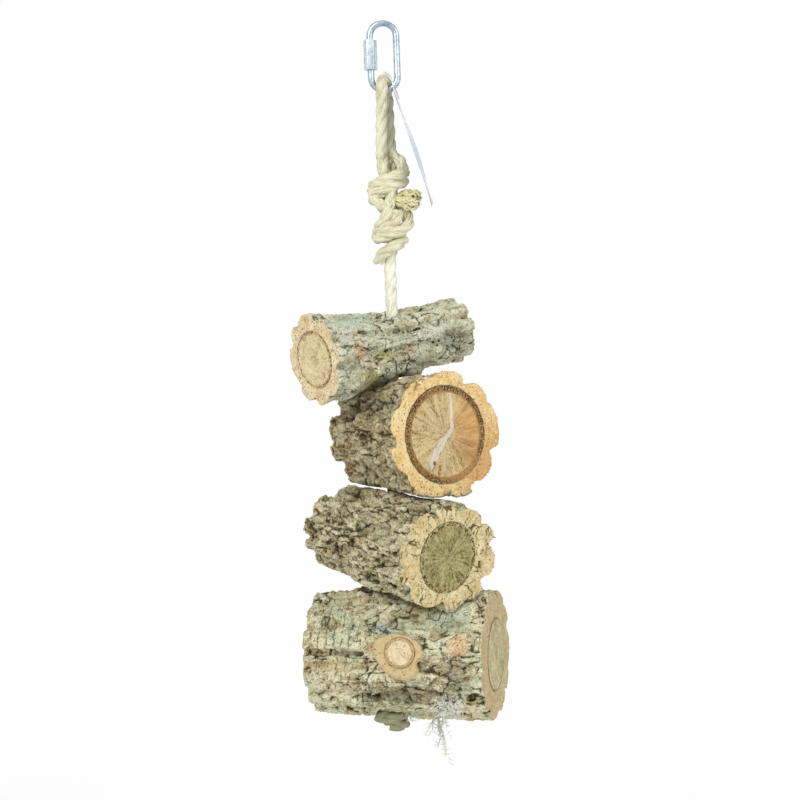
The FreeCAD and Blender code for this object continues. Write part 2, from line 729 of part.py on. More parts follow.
def main():
    """Build every piece and write it."""
    keep(link_rod(), "link_rod")
    keep(gate_nut(), "gate_nut")
    keep(rope_loop(), "rope_loop")
    upper = upper_knot()
    lower = lower_knot()
    keep(upper, "upper_knot")
    keep(lower, "lower_knot")
    keep(frayed_end(upper, lower), "frayed_end")
    keep(tag_card(), "tag_card")
    keep(tag_thread(), "tag_thread")

    heights = {"top_log": -TOP_LOG.radii[1]}
    heights["second_log"] = heights["top_log"] - seated(TOP_LOG, SECOND_LOG, TOP_TURN)
    heights["third_log"] = heights["second_log"] - seated(SECOND_LOG, THIRD_LOG, SECOND_TURN)
    heights["bottom_log"] = heights["third_log"] - seated(THIRD_LOG, BOTTOM_LOG, THIRD_TURN)
    underside = heights["bottom_log"] - BOTTOM_LOG.radii[1]
    knot_seat = underside + KNOT_RECESS_DEPTH - KNOT_SEAT_GAP
    print("axis heights", heights, "underside", underside)

    keep(rope_stem(STACK_TOP - HOLE_ENTRY_DEPTH - STEM_PIVOT), "rope_stem")
    core_top = -HOLE_ENTRY_DEPTH - ROPE_JOINT_GAP
    core = Part.makeCylinder(ROPE_RADIUS, core_top - knot_seat, Vector(0, 0, knot_seat))
    keep(lean(core), "rope_core")
    keep(lean(bottom_knot(knot_seat)), "bottom_knot")

    for log in (TOP_LOG, SECOND_LOG, THIRD_LOG, BOTTOM_LOG):
        pieces = log_pieces(log)
        if log is BOTTOM_LOG:
            collar = branch_collar(log).cut(heartwood_body(log, log.inner_bark, 1))
            plug = branch_core(log, STUB_WOOD_RADIUS + STUB_INNER_BARK, STUB_WOOD_DEPTH)
            pieces["bark"] = pieces["bark"].cut(furrow(log)).fuse(collar).cut(plug)
            pieces["branch_inner_bark"] = plug.cut(branch_core(log, STUB_WOOD_RADIUS, STUB_WOOD_DEPTH))
            pieces["branch_wood"] = branch_core(log, STUB_WOOD_RADIUS, STUB_WOOD_DEPTH)
        for part_name, shape in pieces.items():
            placed = drilled(shape, log, heights[log.name])
            if log is BOTTOM_LOG:
                mouth = Vector(0, 0, underside - KNOT_RECESS_DEPTH)
                recess = Part.makeCylinder(KNOT_RECESS_DIAMETER / 2, KNOT_RECESS_DEPTH * 2, mouth)
                placed = placed.cut(recess)
            if log is BOTTOM_LOG and part_name == "bark":
                keep(lean(beard_lichen(underside, placed)), "beard_lichen")
            keep(lean(placed), log.name + "_" + part_name)


main()
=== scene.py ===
"""Dresses a hanging bird perch: zinc quick link, knotted rope, swing tag and four cork logs."""

import logging
import math
import random
from dataclasses import dataclass, field
from enum import Enum
from typing import Any, Mapping, Sequence

import bmesh
import bpy
from mathutils import Matrix, Vector, noise
from mathutils.bvhtree import BVHTree


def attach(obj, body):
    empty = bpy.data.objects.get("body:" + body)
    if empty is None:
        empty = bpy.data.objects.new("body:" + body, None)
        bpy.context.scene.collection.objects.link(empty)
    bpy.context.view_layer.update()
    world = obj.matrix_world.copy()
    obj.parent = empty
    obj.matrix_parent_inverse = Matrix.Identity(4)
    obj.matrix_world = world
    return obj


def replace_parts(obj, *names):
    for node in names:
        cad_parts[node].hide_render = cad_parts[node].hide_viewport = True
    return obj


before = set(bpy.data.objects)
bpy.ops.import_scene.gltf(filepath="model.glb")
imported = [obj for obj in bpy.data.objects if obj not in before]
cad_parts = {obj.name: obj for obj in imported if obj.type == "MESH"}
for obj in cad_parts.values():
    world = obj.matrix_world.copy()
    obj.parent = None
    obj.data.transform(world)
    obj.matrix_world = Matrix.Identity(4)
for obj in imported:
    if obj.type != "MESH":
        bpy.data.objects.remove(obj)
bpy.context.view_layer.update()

logging.basicConfig(level=logging.INFO, format="%(message)s")
LOG = logging.getLogger("perch")

Point = tuple[float, float, float]
Colour = tuple[float, float, float, float]
# A cord: its points and its radius, in metres, and the share of the radius that is left at its end.
Line = tuple[Sequence[Vector], float, float]

MM = 0.001
STEM_X = -0.7
STACK_TOP = -170.3
STACK_LEAN = 1.6
BAR_HEIGHT = -38.4
FRONT_EDGE = 4.0
FRONT_FADE = 10.0
SPOT_RIM = 1.1
MERGE_GAP = 0.02


def mm(x: float, y: float, z: float) -> Vector:
    """Point given in millimetres, in metres."""
    return Vector((x * MM, y * MM, z * MM))


def unit(value: float) -> float:
    """Number held between 0 and 1."""
    return max(0.0, min(1.0, value))


def srgb(red: float, green: float, blue: float) -> Colour:
    """Linear colour of an 8-bit screen colour.

    Args:
        red: Red from 0 to 255.
        green: Green from 0 to 255.
        blue: Blue from 0 to 255.

    Returns:
        Linear red, green, blue and alpha.
    """
    linear = []
    for value in (red, green, blue):
        share = value / 255
        linear.append(share / 12.92 if share <= 0.04045 else ((share + 0.055) / 1.055) ** 2.4)
    return (linear[0], linear[1], linear[2], 1.0)


def stack_frame() -> Matrix:
    """Place of the leaning stack, whose origin is where the rope enters the top log."""
    place = Matrix.Translation(mm(STEM_X, 0, STACK_TOP))
    return place @ Matrix.Rotation(math.radians(STACK_LEAN), 4, "Y")


class Wire:
    """A shader socket that adds Math nodes when it is used in an expression."""

    def __init__(self, tree: "Tree", socket: bpy.types.NodeSocket) -> None:
        """Keep the tree and the socket that an expression starts from."""
        self.tree = tree
        self.socket = socket

    def _math(self, operation: str, first: Any, second: Any) -> "Wire":
        """Add one Math node on two values or wires."""
        return self.tree.node("ShaderNodeMath", {"operation": operation}, {0: first, 1: second})

    def __add__(self, other: Any) -> "Wire":
        """Sum."""
        return self._math("ADD", self, other)

    __radd__ = __add__

    def __sub__(self, other: Any) -> "Wire":
        """Difference."""
        return self._math("SUBTRACT", self, other)

    def __rsub__(self, other: Any) -> "Wire":
        """Difference from a value."""
        return self._math("SUBTRACT", other, self)

    def __mul__(self, other: Any) -> "Wire":
        """Product."""
        return self._math("MULTIPLY", self, other)

    __rmul__ = __mul__

    def __truediv__(self, other: Any) -> "Wire":
        """Quotient."""
        return self._math("DIVIDE", self, other)

    def __pow__(self, other: Any) -> "Wire":
        """Power."""
        return self._math("POWER", self, other)

    def at_most(self, other: Any) -> "Wire":
        """The smaller of two."""
        return self._math("MINIMUM", self, other)

    def at_least(self, other: Any) -> "Wire":
        """The larger of two."""
        return self._math("MAXIMUM", self, other)

    def sine(self) -> "Wire":
        """Sine of an angle in radians."""
        return self._math("SINE", self, 0.0)

    def size(self) -> "Wire":
        """Value without its sign."""
        return self._math("ABSOLUTE", self, 0.0)

    def step(self, low: float, high: float) -> "Wire":
        """Smooth mask that is 0 up to low and 1 beyond high, where low may be the larger.

        Args:
            low: Where the mask is still 0.
            high: Where it is 1.

        Returns:
            The mask.
        """
        rising = low < high
        ends = (low, high) if rising else (high, low)
        sockets = {"Value": self, "From Min": ends[0], "From Max": ends[1],
                   "To Min": 0.0 if rising else 1.0, "To Max": 1.0 if rising else 0.0}
        return self.tree.node("ShaderNodeMapRange", {"interpolation_type": "SMOOTHSTEP"}, sockets)


class Tree:
    """The node tree of one material, or of the world."""

    def __init__(self, name: str, world: bpy.types.World | None = None) -> None:
        """Start a material that holds only a Principled shader and its output, or take the world's tree.

        Args:
            name: Name of the material.
            world: The world, for its tree.
        """
        self.owner = world or bpy.data.materials.new(name)
        self.owner.use_nodes = True
        self.nodes = self.owner.node_tree.nodes
        self.links = self.owner.node_tree.links
        self.shader = self.nodes["Background" if world else "Principled BSDF"]

    def feed(self, socket: bpy.types.NodeSocket, value: Any) -> None:
        """Set a socket to a value, or link a wire to it.

        Args:
            socket: The input socket.
            value: The value or the wire.
        """
        if isinstance(value, Wire):
            self.links.new(value.socket, socket)
        else:
            socket.default_value = value

    def node(self, kind: str, settings: Mapping[str, Any] | None = None,
             sockets: Mapping[Any, Any] | None = None, output: Any = 0) -> Wire:
        """Add a node.

        Args:
            kind: Type of node.
            settings: Its properties, set first; "stops" are a ramp's positions and colours.
            sockets: Values or wires for its inputs, by name or index.
            output: Which output to return.

        Returns:
            The chosen output.
        """
        made = self.nodes.new(kind)
        for key, value in (settings or {}).items():
            if key == "stops":
                stops = made.color_ramp.elements
                while len(stops) < len(value):
                    stops.new(0.5)
                for stop, (position, colour) in zip(stops, value):
                    stop.position = position
                    stop.color = colour
            else:
                setattr(made, key, value)
        for key, value in (sockets or {}).items():
            self.feed(made.inputs[key], value)
        return Wire(self, made.outputs[output])

    def spot(self) -> Wire:
        """Object coordinates in millimetres."""
        return self.stretch(self.node("ShaderNodeTexCoord", output="Object"), 1 / MM, 1 / MM, 1 / MM)

    def own(self, place: Matrix) -> Wire:
        """Object coordinates in millimetres, in a piece's own frame.

        Args:
            place: The frame's place in metres.

        Returns:
            The coordinates.
        """
        coordinates = self.node("ShaderNodeTexCoord", output="Object")
        location, turn, _ = place.decompose()
        sockets = {"Vector": coordinates, "Location": location, "Rotation": turn.to_euler("XYZ"),
                   "Scale": (MM, MM, MM)}
        return self.node("ShaderNodeMapping", {"vector_type": "TEXTURE"}, sockets)

    def axes(self, vector: Wire) -> tuple[Wire, Wire, Wire]:
        """The three numbers of a vector.

        Args:
            vector: The vector.

        Returns:
            Its X, Y and Z.
        """
        split = self.node("ShaderNodeSeparateXYZ", None, {0: vector})
        outputs = split.socket.node.outputs
        return Wire(self, outputs[0]), Wire(self, outputs[1]), Wire(self, outputs[2])

    def vector(self, x: Any, y: Any, z: Any) -> Wire:
        """A vector from three numbers."""
        return self.node("ShaderNodeCombineXYZ", None, {0: x, 1: y, 2: z})

    def stretch(self, vector: Wire, x: float, y: float, z: float) -> Wire:
        """A vector times a fixed scale along each axis."""
        return self.node("ShaderNodeVectorMath", {"operation": "MULTIPLY"}, {0: vector, 1: (x, y, z)})

    def noise(self, vector: Wire, scale: float, detail: float = 3.0, rough: float = 0.55) -> Wire:
        """Cloudy noise from 0 to 1."""
        sockets = {"Vector": vector, "Scale": scale, "Detail": detail, "Roughness": rough}
        return self.node("ShaderNodeTexNoise", None, sockets)

    def cells(self, vector: Wire, scale: float, feature: str = "F1", output: str = "Distance") -> Wire:
        """Cell pattern."""
        sockets = {"Vector": vector, "Scale": scale}
        return self.node("ShaderNodeTexVoronoi", {"feature": feature}, sockets, output)

    def attribute(self, name: str) -> Wire:
        """A number stored on the mesh."""
        return self.node("ShaderNodeAttribute", {"attribute_name": name}, None, "Fac")

    def ramp(self, value: Wire, stops: Sequence[tuple[float, Colour]]) -> Wire:
        """Colours along a value."""
        return self.node("ShaderNodeValToRGB", {"stops": stops}, {"Fac": value})

    def blend(self, mask: Any, first: Any, second: Any) -> Wire:
        """One colour over another by a mask."""
        return self.node("ShaderNodeMix", {"data_type": "RGBA"}, {0: mask, 6: first, 7: second}, 2)

    def shade(self, mask: Any, colour: Any, tint: Colour) -> Wire:
        """A colour multiplied by a tint where the mask is 1."""
        settings = {"data_type": "RGBA", "blend_type": "MULTIPLY"}
        return self.node("ShaderNodeMix", settings, {0: mask, 6: colour, 7: tint}, 2)

    def lit_or_seen(self, share: float | Wire) -> None:
        """Show plain white to camera, glossy and transmission rays, and the shader to all others.

        Args:
            share: How much of the white is used.
        """
        seen = self.node("ShaderNodeLightPath", output="Is Camera Ray")
        for output in ("Is Glossy Ray", "Is Transmission Ray"):
            seen = seen.at_least(self.node("ShaderNodeLightPath", output=output))
        glow = self.node("ShaderNodeEmission", None, {"Color": (1, 1, 1, 1), "Strength": 1.0})
        sockets = {0: seen * share, 1: Wire(self, self.shader.outputs[0]), 2: glow}
        mixed = self.node("ShaderNodeMixShader", None, sockets)
        end = next(node for node in self.nodes if node.bl_idname.startswith("ShaderNodeOutput"))
        self.links.new(mixed.socket, end.inputs["Surface"])

    def bump(self, height: Wire, strength: float, distance: float) -> None:
        """Feed the shader's normal from a height.

        Args:
            height: The height from 0 to 1.
            strength: Share of the bump that is used.
            distance: Height of the bump in millimetres.
        """
        sockets = {"Height": height, "Strength": strength, "Distance": distance * MM}
        self.feed(self.shader.inputs["Normal"], self.node("ShaderNodeBump", None, sockets))

    def finish(self, colour: Any, rough: Any, metal: float = 0.0,
               specular: float = 0.3) -> bpy.types.Material:
        """Feed the shader and hand over the material.

        Args:
            colour: Base colour.
            rough: Roughness.
            metal: Metallic.
            specular: Specular level.

        Returns:
            The material.
        """
        self.feed(self.shader.inputs["Base Color"], colour)
        self.feed(self.shader.inputs["Roughness"], rough)
        self.shader.inputs["Metallic"].default_value = metal
        self.shader.inputs["Specular IOR Level"].default_value = specular
        return self.owner


@dataclass(frozen=True)
class Patch:
    """A spot of another colour on a front surface: its middle, half sizes and furthest Y in millimetres."""

    x: float
    z: float
    reach_x: float
    reach_z: float
    colour: Colour
    strength: float = 1.0
    speckled: float = 0.3
    soft: float = 0.35
    back: float = FRONT_EDGE

    def mask(self, tree: Tree, ragged: Wire) -> Wire:
        """Where the patch lies.

        Args:
            tree: The material's tree.
            ragged: Noise that makes its edge uneven.

        Returns:
            The mask.
        """
        x, y, z = tree.axes(tree.spot())
        across = (x - self.x) / self.reach_x
        up = (z - self.z) / self.reach_z
        away = (across * across + up * up) ** 0.5 + (ragged - 0.5) * (self.speckled * 4)
        front = y.step(self.back, self.back - FRONT_FADE)
        return away.step(SPOT_RIM, SPOT_RIM - self.soft) * front * self.strength


@dataclass(frozen=True)
class Streak:
    """A narrow band down a front surface: Z, X and half width of its points, upwards, in millimetres."""

    points: tuple[tuple[float, float, float], ...]
    colour: Colour
    strength: float = 0.85
    across: float = 100.0
    widest: float = 10.0

    def value(self, tree: Tree, share: Wire, column: int, most: float) -> Wire:
        """One of the points' numbers, as a value that runs up the band.

        Args:
            tree: The material's tree.
            share: How far up the band a point lies, from 0 to 1.
            column: Which of the points' numbers.
            most: A number that none of them passes.

        Returns:
            The value in millimetres.
        """
        low = self.points[0][0]
        tall = self.points[-1][0] - low
        stops = [((point[0] - low) / tall, (*[point[column] / most] * 3, 1.0)) for point in self.points]
        return tree.ramp(share, stops) * most

    def mask(self, tree: Tree, ragged: Wire) -> Wire:
        """Where the band lies.

        Args:
            tree: The material's tree.
            ragged: Noise that makes its edge uneven.

        Returns:
            The mask.
        """
        x, y, z = tree.axes(tree.spot())
        low = self.points[0][0]
        share = (z - low) / (self.points[-1][0] - low)
        middle = self.value(tree, share, 1, self.across)
        half = self.value(tree, share, 2, self.widest)
        away = (x - middle).size() / half + (ragged - 0.5) * 1.4
        return away.step(1.15, 0.65) * y.step(FRONT_EDGE, FRONT_EDGE - FRONT_FADE) * self.strength


@dataclass(frozen=True)
class ZincFinish:
    """Bright zinc plate."""

    name: str = "zinc_plate"
    base: Colour = srgb(178, 190, 200)
    dull: Colour = srgb(138, 156, 168)

    def material(self) -> bpy.types.Material:
        """Make the material.

        Returns:
            The material.
        """
        tree = Tree(self.name)
        place = tree.spot()
        cloud = tree.noise(place, 0.35, 3.0)
        grain = tree.noise(place, 3.5, 2.0)
        colour = tree.blend(cloud.step(0.35, 0.7), self.base, self.dull)
        tree.bump(grain, strength=0.15, distance=0.05)
        return tree.finish(colour, 0.2 + grain * 0.14, metal=0.92, specular=0.5)


@dataclass(frozen=True)
class RopeFinish:
    """Undyed laid rope: soft strands of fine yarns."""

    name: str
    pale: Colour
    mid: Colour
    deep: Colour

    def material(self) -> bpy.types.Material:
        """Make the material.

        Returns:
            The material.
        """
        tree = Tree(self.name)
        around, along, _ = tree.axes(tree.node("ShaderNodeUVMap", {"uv_map": "UVMap"}))
        yarn_place = tree.vector(around * 0.9 + along * 0.38, along * 0.10, 0.0)
        yarn = tree.noise(yarn_place, 1.1, 2.0, 0.6)
        fuzz = tree.noise(tree.vector(around, along, 0.0), 1.3, 3.0, 0.7)
        place = tree.spot()
        cloud = tree.noise(place, 0.12, 2.0)
        tone = yarn * 0.42 + fuzz * 0.36 + cloud * 0.22
        colour = tree.ramp(tone, ((0.38, self.deep), (0.46, self.mid), (0.56, self.pale)))
        tree.bump(yarn * 0.8 + fuzz * 0.3, strength=0.7, distance=0.35)
        return tree.finish(colour, 0.92, specular=0.12)


@dataclass(frozen=True)
class CardFinish:
    """Blank coated card."""

    name: str = "blank_card"
    face: Colour = srgb(206, 206, 218)
    cool: Colour = srgb(176, 188, 204)
    band_top: float = -52.0
    band_foot: float = -92.0

    def material(self) -> bpy.types.Material:
        """Make the material.

        Returns:
            The material.
        """
        tree = Tree(self.name)
        place = tree.spot()
        _, _, height = tree.axes(place)
        cloud = tree.noise(place, 0.06, 2.0)
        fibre = tree.noise(place, 5.0, 2.0)
        height = height + cloud * 14
        band = height.step(self.band_top, self.band_top - 14)
        band = band * height.step(self.band_foot, self.band_foot + 16)
        tree.bump(fibre, strength=0.2, distance=0.03)
        colour = tree.blend(band * 0.75, self.face, self.cool)
        return tree.finish(colour, 0.42 + fibre * 0.1, specular=0.4)


@dataclass(frozen=True)
class FilamentFinish:
    """Thread, frayed yarn or hair-like lichen."""

    name: str
    pale: Colour
    deep: Colour
    scale: float = 0.6

    def material(self) -> bpy.types.Material:
        """Make the material.

        Returns:
            The material.
        """
        tree = Tree(self.name)
        place = tree.spot()
        cloud = tree.noise(place, self.scale, 3.0)
        fine = tree.noise(place, self.scale * 6, 2.0)
        tree.bump(fine, strength=0.4, distance=0.1)
        colour = tree.ramp(cloud * 0.7 + fine * 0.3, ((0.35, self.deep), (0.62, self.pale)))
        return tree.finish(colour, 0.85 + fine * 0.1, specular=0.15)


@dataclass(frozen=True)
class WoodFinish:
    """Sawn end of a log's wood, with rays from the pith and growth rings."""

    name: str
    pale: Colour
    mid: Colour
    deep: Colour
    rays: float = 14.0
    ray_share: float = 0.5
    ring_gap: float = 2.2
    ring_share: float = 0.25
    speck: float = 0.3
    check: Colour = srgb(120, 90, 60)
    patches: tuple[Patch | Streak, ...] = ()

    def material(self, place: Matrix) -> bpy.types.Material:
        """Make the material.

        Args:
            place: The log's frame.

        Returns:
            The material.
        """
        tree = Tree(self.name)
        own = tree.own(place)
        _, side, up = tree.axes(own)
        radius = (side * side + up * up) ** 0.5 + 0.01
        drift = tree.noise(own, 0.16, 2.0)
        spokes = tree.vector(side / radius * self.rays, up / radius * self.rays, radius * 0.06 + drift * 0.7)
        rays = tree.noise(spokes, 1.0, 4.0, 0.75)
        rings = ((radius + drift * 9) * (math.tau / self.ring_gap)).sine() * 0.5 + 0.5
        grain = tree.noise(own, 0.9, 4.0, 0.75)
        cloud = tree.noise(own, 0.12, 2.0)
        rest = 1 - self.ray_share - self.ring_share
        tone = rays * self.ray_share + rings * self.ring_share * 0.5 + (grain * 0.7 + cloud * 0.3) * rest
        middle = self.ray_share * 0.5 + self.ring_share * 0.25 + rest * 0.5
        stops = ((middle - 0.085, self.deep), (middle - 0.01, self.mid), (middle + 0.065, self.pale))
        colour = tree.ramp(tone, stops)
        ragged = tree.noise(own, 0.3, 3.0)
        for patch in self.patches:
            streaked = tree.shade(rays.step(0.6, 0.4) * 0.35, patch.colour, self.mid)
            colour = tree.blend(patch.mask(tree, ragged), colour, streaked)
        specks = grain.step(0.40, 0.33) + tree.cells(own, 0.6).step(0.22, 0.12) * rays.step(0.5, 0.4)
        colour = tree.blend(specks.at_most(1.0) * self.speck, colour, self.deep)
        checks = tree.noise(tree.vector(side / radius * 5, up / radius * 5, radius * 0.04), 1.3, 2.0, 0.8)
        crack = checks.step(0.66, 0.72) * radius.step(1.5, 6.0) * grain.step(0.42, 0.5)
        colour = tree.shade(crack * 0.6, colour, self.check)
        tree.bump(rays * 0.5 + grain * 0.4 - crack * 0.6 - specks * 0.3, strength=0.7, distance=0.6)
        return tree.finish(colour, 0.82, specular=0.2)


@dataclass(frozen=True)
class InnerBarkFinish:
    """Dark corky ring between the wood and the outer cork, speckled with pale grains."""

    name: str
    deep: Colour
    mid: Colour
    fleck: Colour
    scale: float = 1.1
    flecked: float = 0.7
    broken: float = 0.0
    patches: tuple[Patch, ...] = ()
    inside: Colour | None = None
    buried_shade: Colour = srgb(62, 52, 38)

    def material(self, place: Matrix, length: float, walls: tuple[float, float] = (0.0, 0.0),
                 thick: float = 1.0) -> bpy.types.Material:
        """Make the material.

        Args:
            place: The log's frame.
            length: The log's length, whose side between the sawn faces is painted dark as shade in the gaps,
                or 0.
            walls: The ring's outer radius in the middle and how much it grows per millimetre.
            thick: The ring's thickness.

        Returns:
            The material.
        """
        tree = Tree(self.name)
        own = tree.own(place)
        grain = tree.noise(own, self.scale, 4.0, 0.75)
        cells = tree.cells(own, self.scale * 0.8)
        colour = tree.ramp(grain, ((0.40, self.deep), (0.50, self.mid), (0.62, self.fleck)))
        colour = tree.blend(cells.step(0.34, 0.18) * self.flecked, colour, self.fleck)
        gaps = tree.noise(own, 0.42, 3.0, 0.6).step(0.50, 0.60)
        colour = tree.blend(gaps * self.broken, colour, self.fleck)
        ragged = tree.noise(own, 0.3, 3.0)
        if self.inside:
            along, y, z = tree.axes(own)
            sunk = along * walls[1] + walls[0] - (y * y + z * z) ** 0.5
            sunk = sunk + (ragged - 0.5) * 4 + (grain - 0.5) * 3
            colour = tree.blend(sunk.step(thick * 0.66, thick * 0.9) * 0.85, colour, self.inside)
        for patch in self.patches:
            colour = tree.blend(patch.mask(tree, ragged) * (0.4 + cells), colour, patch.colour)
        # The ring's sides away from the sawn faces are painted dark: painted shade where they show in the
        # gaps.
        if length:
            buried_shade = tree.axes(own)[0].size().step(length / 2 - 0.4, length / 2 - 1.2)
            colour = tree.blend(buried_shade * 0.9, colour, self.buried_shade)
        tree.bump(grain + cells * 0.4, strength=0.8, distance=0.7)
        return tree.finish(colour, 0.88, specular=0.15)


@dataclass(frozen=True)
class CorkFinish:
    """Cork bark: weathered skin with cracks, lichen crust, and pale corky sawn faces."""

    name: str
    deep: Colour
    dark: Colour
    mid: Colour
    pale: Colour
    crust: Colour
    crust_pale: Colour
    crust_share: float
    rust: float
    face: Colour
    face_warm: Colour
    face_pale: Colour
    face_dark: Colour
    patches: tuple[Patch, ...] = ()
    face_patches: tuple[Patch, ...] = ()
    bands: tuple[Patch, ...] = ()
    band_gap: float = 4.8
    rust_tint: Colour = srgb(196, 170, 130)
    pitted: float = 0.85

    def skin(self, tree: Tree, own: Wire, depth: Wire) -> tuple[Wire, Wire]:
        """Colour and height of the weathered outside.

        Args:
            tree: The material's tree.
            own: The log's own coordinates in millimetres.
            depth: How deep a point lies in a crack, from 0 to 1.

        Returns:
            The colour and the height.
        """
        long = tree.stretch(own, 0.55, 1.0, 1.0)
        crumb = tree.noise(long, 0.30, 6.0, 0.72)
        grain = tree.noise(own, 1.0, 3.0, 0.75)
        broad = tree.noise(own, 0.045, 3.0, 0.6)
        flake = tree.axes(tree.cells(long, 0.30, "F1", "Color"))[0]
        low = tree.attribute("relief")
        # Hollows are darker by their depth below the crowns: partly the darker cork in them, partly painted
        # shade.
        tone = crumb * 0.52 + grain * 0.24 + flake * 0.10 - low * 0.22
        stops = ((0.19, self.deep), (0.25, self.dark), (0.32, self.mid), (0.42, self.pale))
        colour = tree.ramp(tone, stops)
        crust = tree.ramp(tone, ((0.22, self.mid), (0.31, self.crust), (0.41, self.crust_pale)))
        level = 0.5 + (0.5 - self.crust_share) * 0.35
        crusted = (broad + (crumb - 0.5) * 0.5).step(level - 0.05, level + 0.07)
        colour = tree.blend(crusted * 0.9, colour, crust)
        ragged = tree.noise(own, 0.22, 4.0, 0.65)
        # Patches are lichen, bare cork and other tints, and some are painted shade.
        for patch in self.patches:
            tint_and_shade = tree.shade(grain.step(0.60, 0.40) * 0.45, patch.colour, self.mid)
            colour = tree.blend(patch.mask(tree, ragged), colour, tint_and_shade)
        cut: Any = 0.0
        for patch in self.bands:
            lines = ((tree.axes(own)[0] + ragged * 6) * (math.tau / self.band_gap)).sine().step(0.88, 0.99)
            lines = patch.mask(tree, ragged) * lines * tree.noise(own, 0.16, 2.0).step(0.40, 0.50)
            colour = tree.shade(lines * 0.8, colour, patch.colour)
            cut = lines + cut
        rusty = tree.noise(long, 0.11, 4.0, 0.7)
        colour = tree.shade(rusty.step(0.50, 0.62) * self.rust, colour, self.rust_tint)
        # Cracks take the deep colour by their depth: partly the darker cork inside them, partly painted
        # shade.
        crack = (depth + (crumb - 0.5) * 0.35).step(0.50, 0.85)
        colour = tree.blend(crack * 0.85, colour, self.deep)
        specks = grain.step(0.45, 0.36)
        colour = tree.shade(specks * 0.75, colour, self.dark)
        glints = grain.step(0.56, 0.66) * crumb.step(0.44, 0.56)
        colour = tree.blend(glints * 0.6, colour, self.crust_pale)
        return colour, crumb * 0.6 + grain * 0.35 - specks * 0.2 - cut * 0.5

    def sawn(self, tree: Tree, own: Wire, depth: Wire) -> tuple[Wire, Wire]:
        """Colour and height of the pale sawn cork.

        Args:
            tree: The material's tree.
            own: The log's own coordinates in millimetres.
            depth: How deep a point lies in a crack, from 0 to 1.

        Returns:
            The colour and the height.
        """
        cloud = tree.noise(own, 0.13, 3.0)
        crumb = tree.noise(own, 0.6, 4.0, 0.72)
        grain = tree.noise(own, 1.3, 3.0, 0.7)
        tone = cloud * 0.4 + crumb * 0.38 + grain * 0.22
        colour = tree.ramp(tone, ((0.40, self.face_warm), (0.5, self.face), (0.60, self.face_pale)))
        ragged = tree.noise(own, 0.3, 3.0)
        for patch in self.face_patches:
            colour = tree.blend(patch.mask(tree, ragged), colour, patch.colour)
        specks = grain.step(0.43, 0.35) * crumb.step(0.62, 0.50)
        colour = tree.blend(specks * self.pitted, colour, self.face_dark)
        pores = tree.cells(own, 0.42).step(0.26, 0.12) * cloud.step(0.44, 0.52)
        colour = tree.blend(pores * self.pitted, colour, self.face_dark)
        # Cracks in the sawn face darken by their depth: partly the darker cork inside them, partly painted
        # shade.
        crack = (depth + (crumb - 0.5) * 0.3).step(0.25, 0.65)
        colour = tree.blend(crack * 0.85, colour, self.face_dark)
        return colour, crumb * 0.5 + grain * 0.3 - pores * 0.6 - specks * 0.2

    def material(self, place: Matrix) -> bpy.types.Material:
        """Make the material.

        Args:
            place: The log's frame.

        Returns:
            The material.
        """
        tree = Tree(self.name)
        own = tree.own(place)
        depth = tree.attribute("depth")
        skin, skin_height = self.skin(tree, own, depth)
        face, face_height = self.sawn(tree, own, depth)
        edge = tree.noise(own, 0.6, 3.0, 0.7)
        mask = (tree.attribute("sawn") + (edge - 0.5) * 0.3).step(0.66, 0.82)
        height = skin_height * (1 - mask) + face_height * mask
        tree.bump(height, strength=0.8, distance=0.8)
        return tree.finish(tree.blend(mask, skin, face), 0.93, specular=0.12)


def mesh_of(shape: bmesh.types.BMesh, name: str) -> bpy.types.Mesh:
    """Mesh of a shape.

    Args:
        shape: The shape, which is freed.
        name: Name of the mesh.

    Returns:
        The mesh.
    """
    mesh = bpy.data.meshes.new(name)
    shape.to_mesh(mesh)
    shape.free()
    return mesh


def shape_of(mesh: bpy.types.Mesh) -> bmesh.types.BMesh:
    """Shape of a mesh.

    Args:
        mesh: The mesh, which is kept.

    Returns:
        The shape.
    """
    shape = bmesh.new()
    shape.from_mesh(mesh)
    return shape


def bare_object(name: str, data: Any) -> bpy.types.Object:
    """Object at the origin, in the scene.

    Args:
        name: Name of the object.
        data: Its mesh, curve, camera or lamp.

    Returns:
        The object.
    """
    made = bpy.data.objects.new(name, data)
    bpy.context.scene.collection.objects.link(made)
    return made


def settled(source: bpy.types.Object, name: str) -> bpy.types.Mesh:
    """Mesh of an object with its modifiers applied.

    Args:
        source: The object, which is removed.
        name: Name of the mesh.

    Returns:
        The mesh.
    """
    bpy.context.view_layer.update()
    graph = bpy.context.evaluated_depsgraph_get()
    mesh = bpy.data.meshes.new_from_object(source.evaluated_get(graph))
    mesh.name = name
    bpy.data.objects.remove(source)
    return mesh


def piece_of(name: str, body: str, shape: bmesh.types.BMesh | bpy.types.Mesh, finish: bpy.types.Material,
             smooth: bool = True) -> bpy.types.Object:
    """Finished piece that rides on a body.

    Args:
        name: The piece's name.
        body: The body that it rides on.
        shape: A bmesh, which is freed, or a mesh.
        finish: Its material.
        smooth: Whether its faces are shaded smooth.

    Returns:
        The piece.
    """
    mesh = mesh_of(shape, name) if isinstance(shape, bmesh.types.BMesh) else shape
    mesh.materials.clear()
    mesh.materials.append(finish)
    if smooth:
        mesh.shade_smooth()
    else:
        mesh.shade_flat()
    made = bare_object(name, mesh)
    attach(made, body)
    LOG.info("%s on %s: %d faces", name, body, len(mesh.polygons))
    return made


def dress(node: str, finish: bpy.types.Material) -> None:
    """Give a CAD node its finish.

    Args:
        node: The node's name.
        finish: Its material.
    """
    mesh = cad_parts[node].data
    mesh.materials.clear()
    mesh.materials.append(finish)
    LOG.info("%s dressed as %s", node, finish.name)


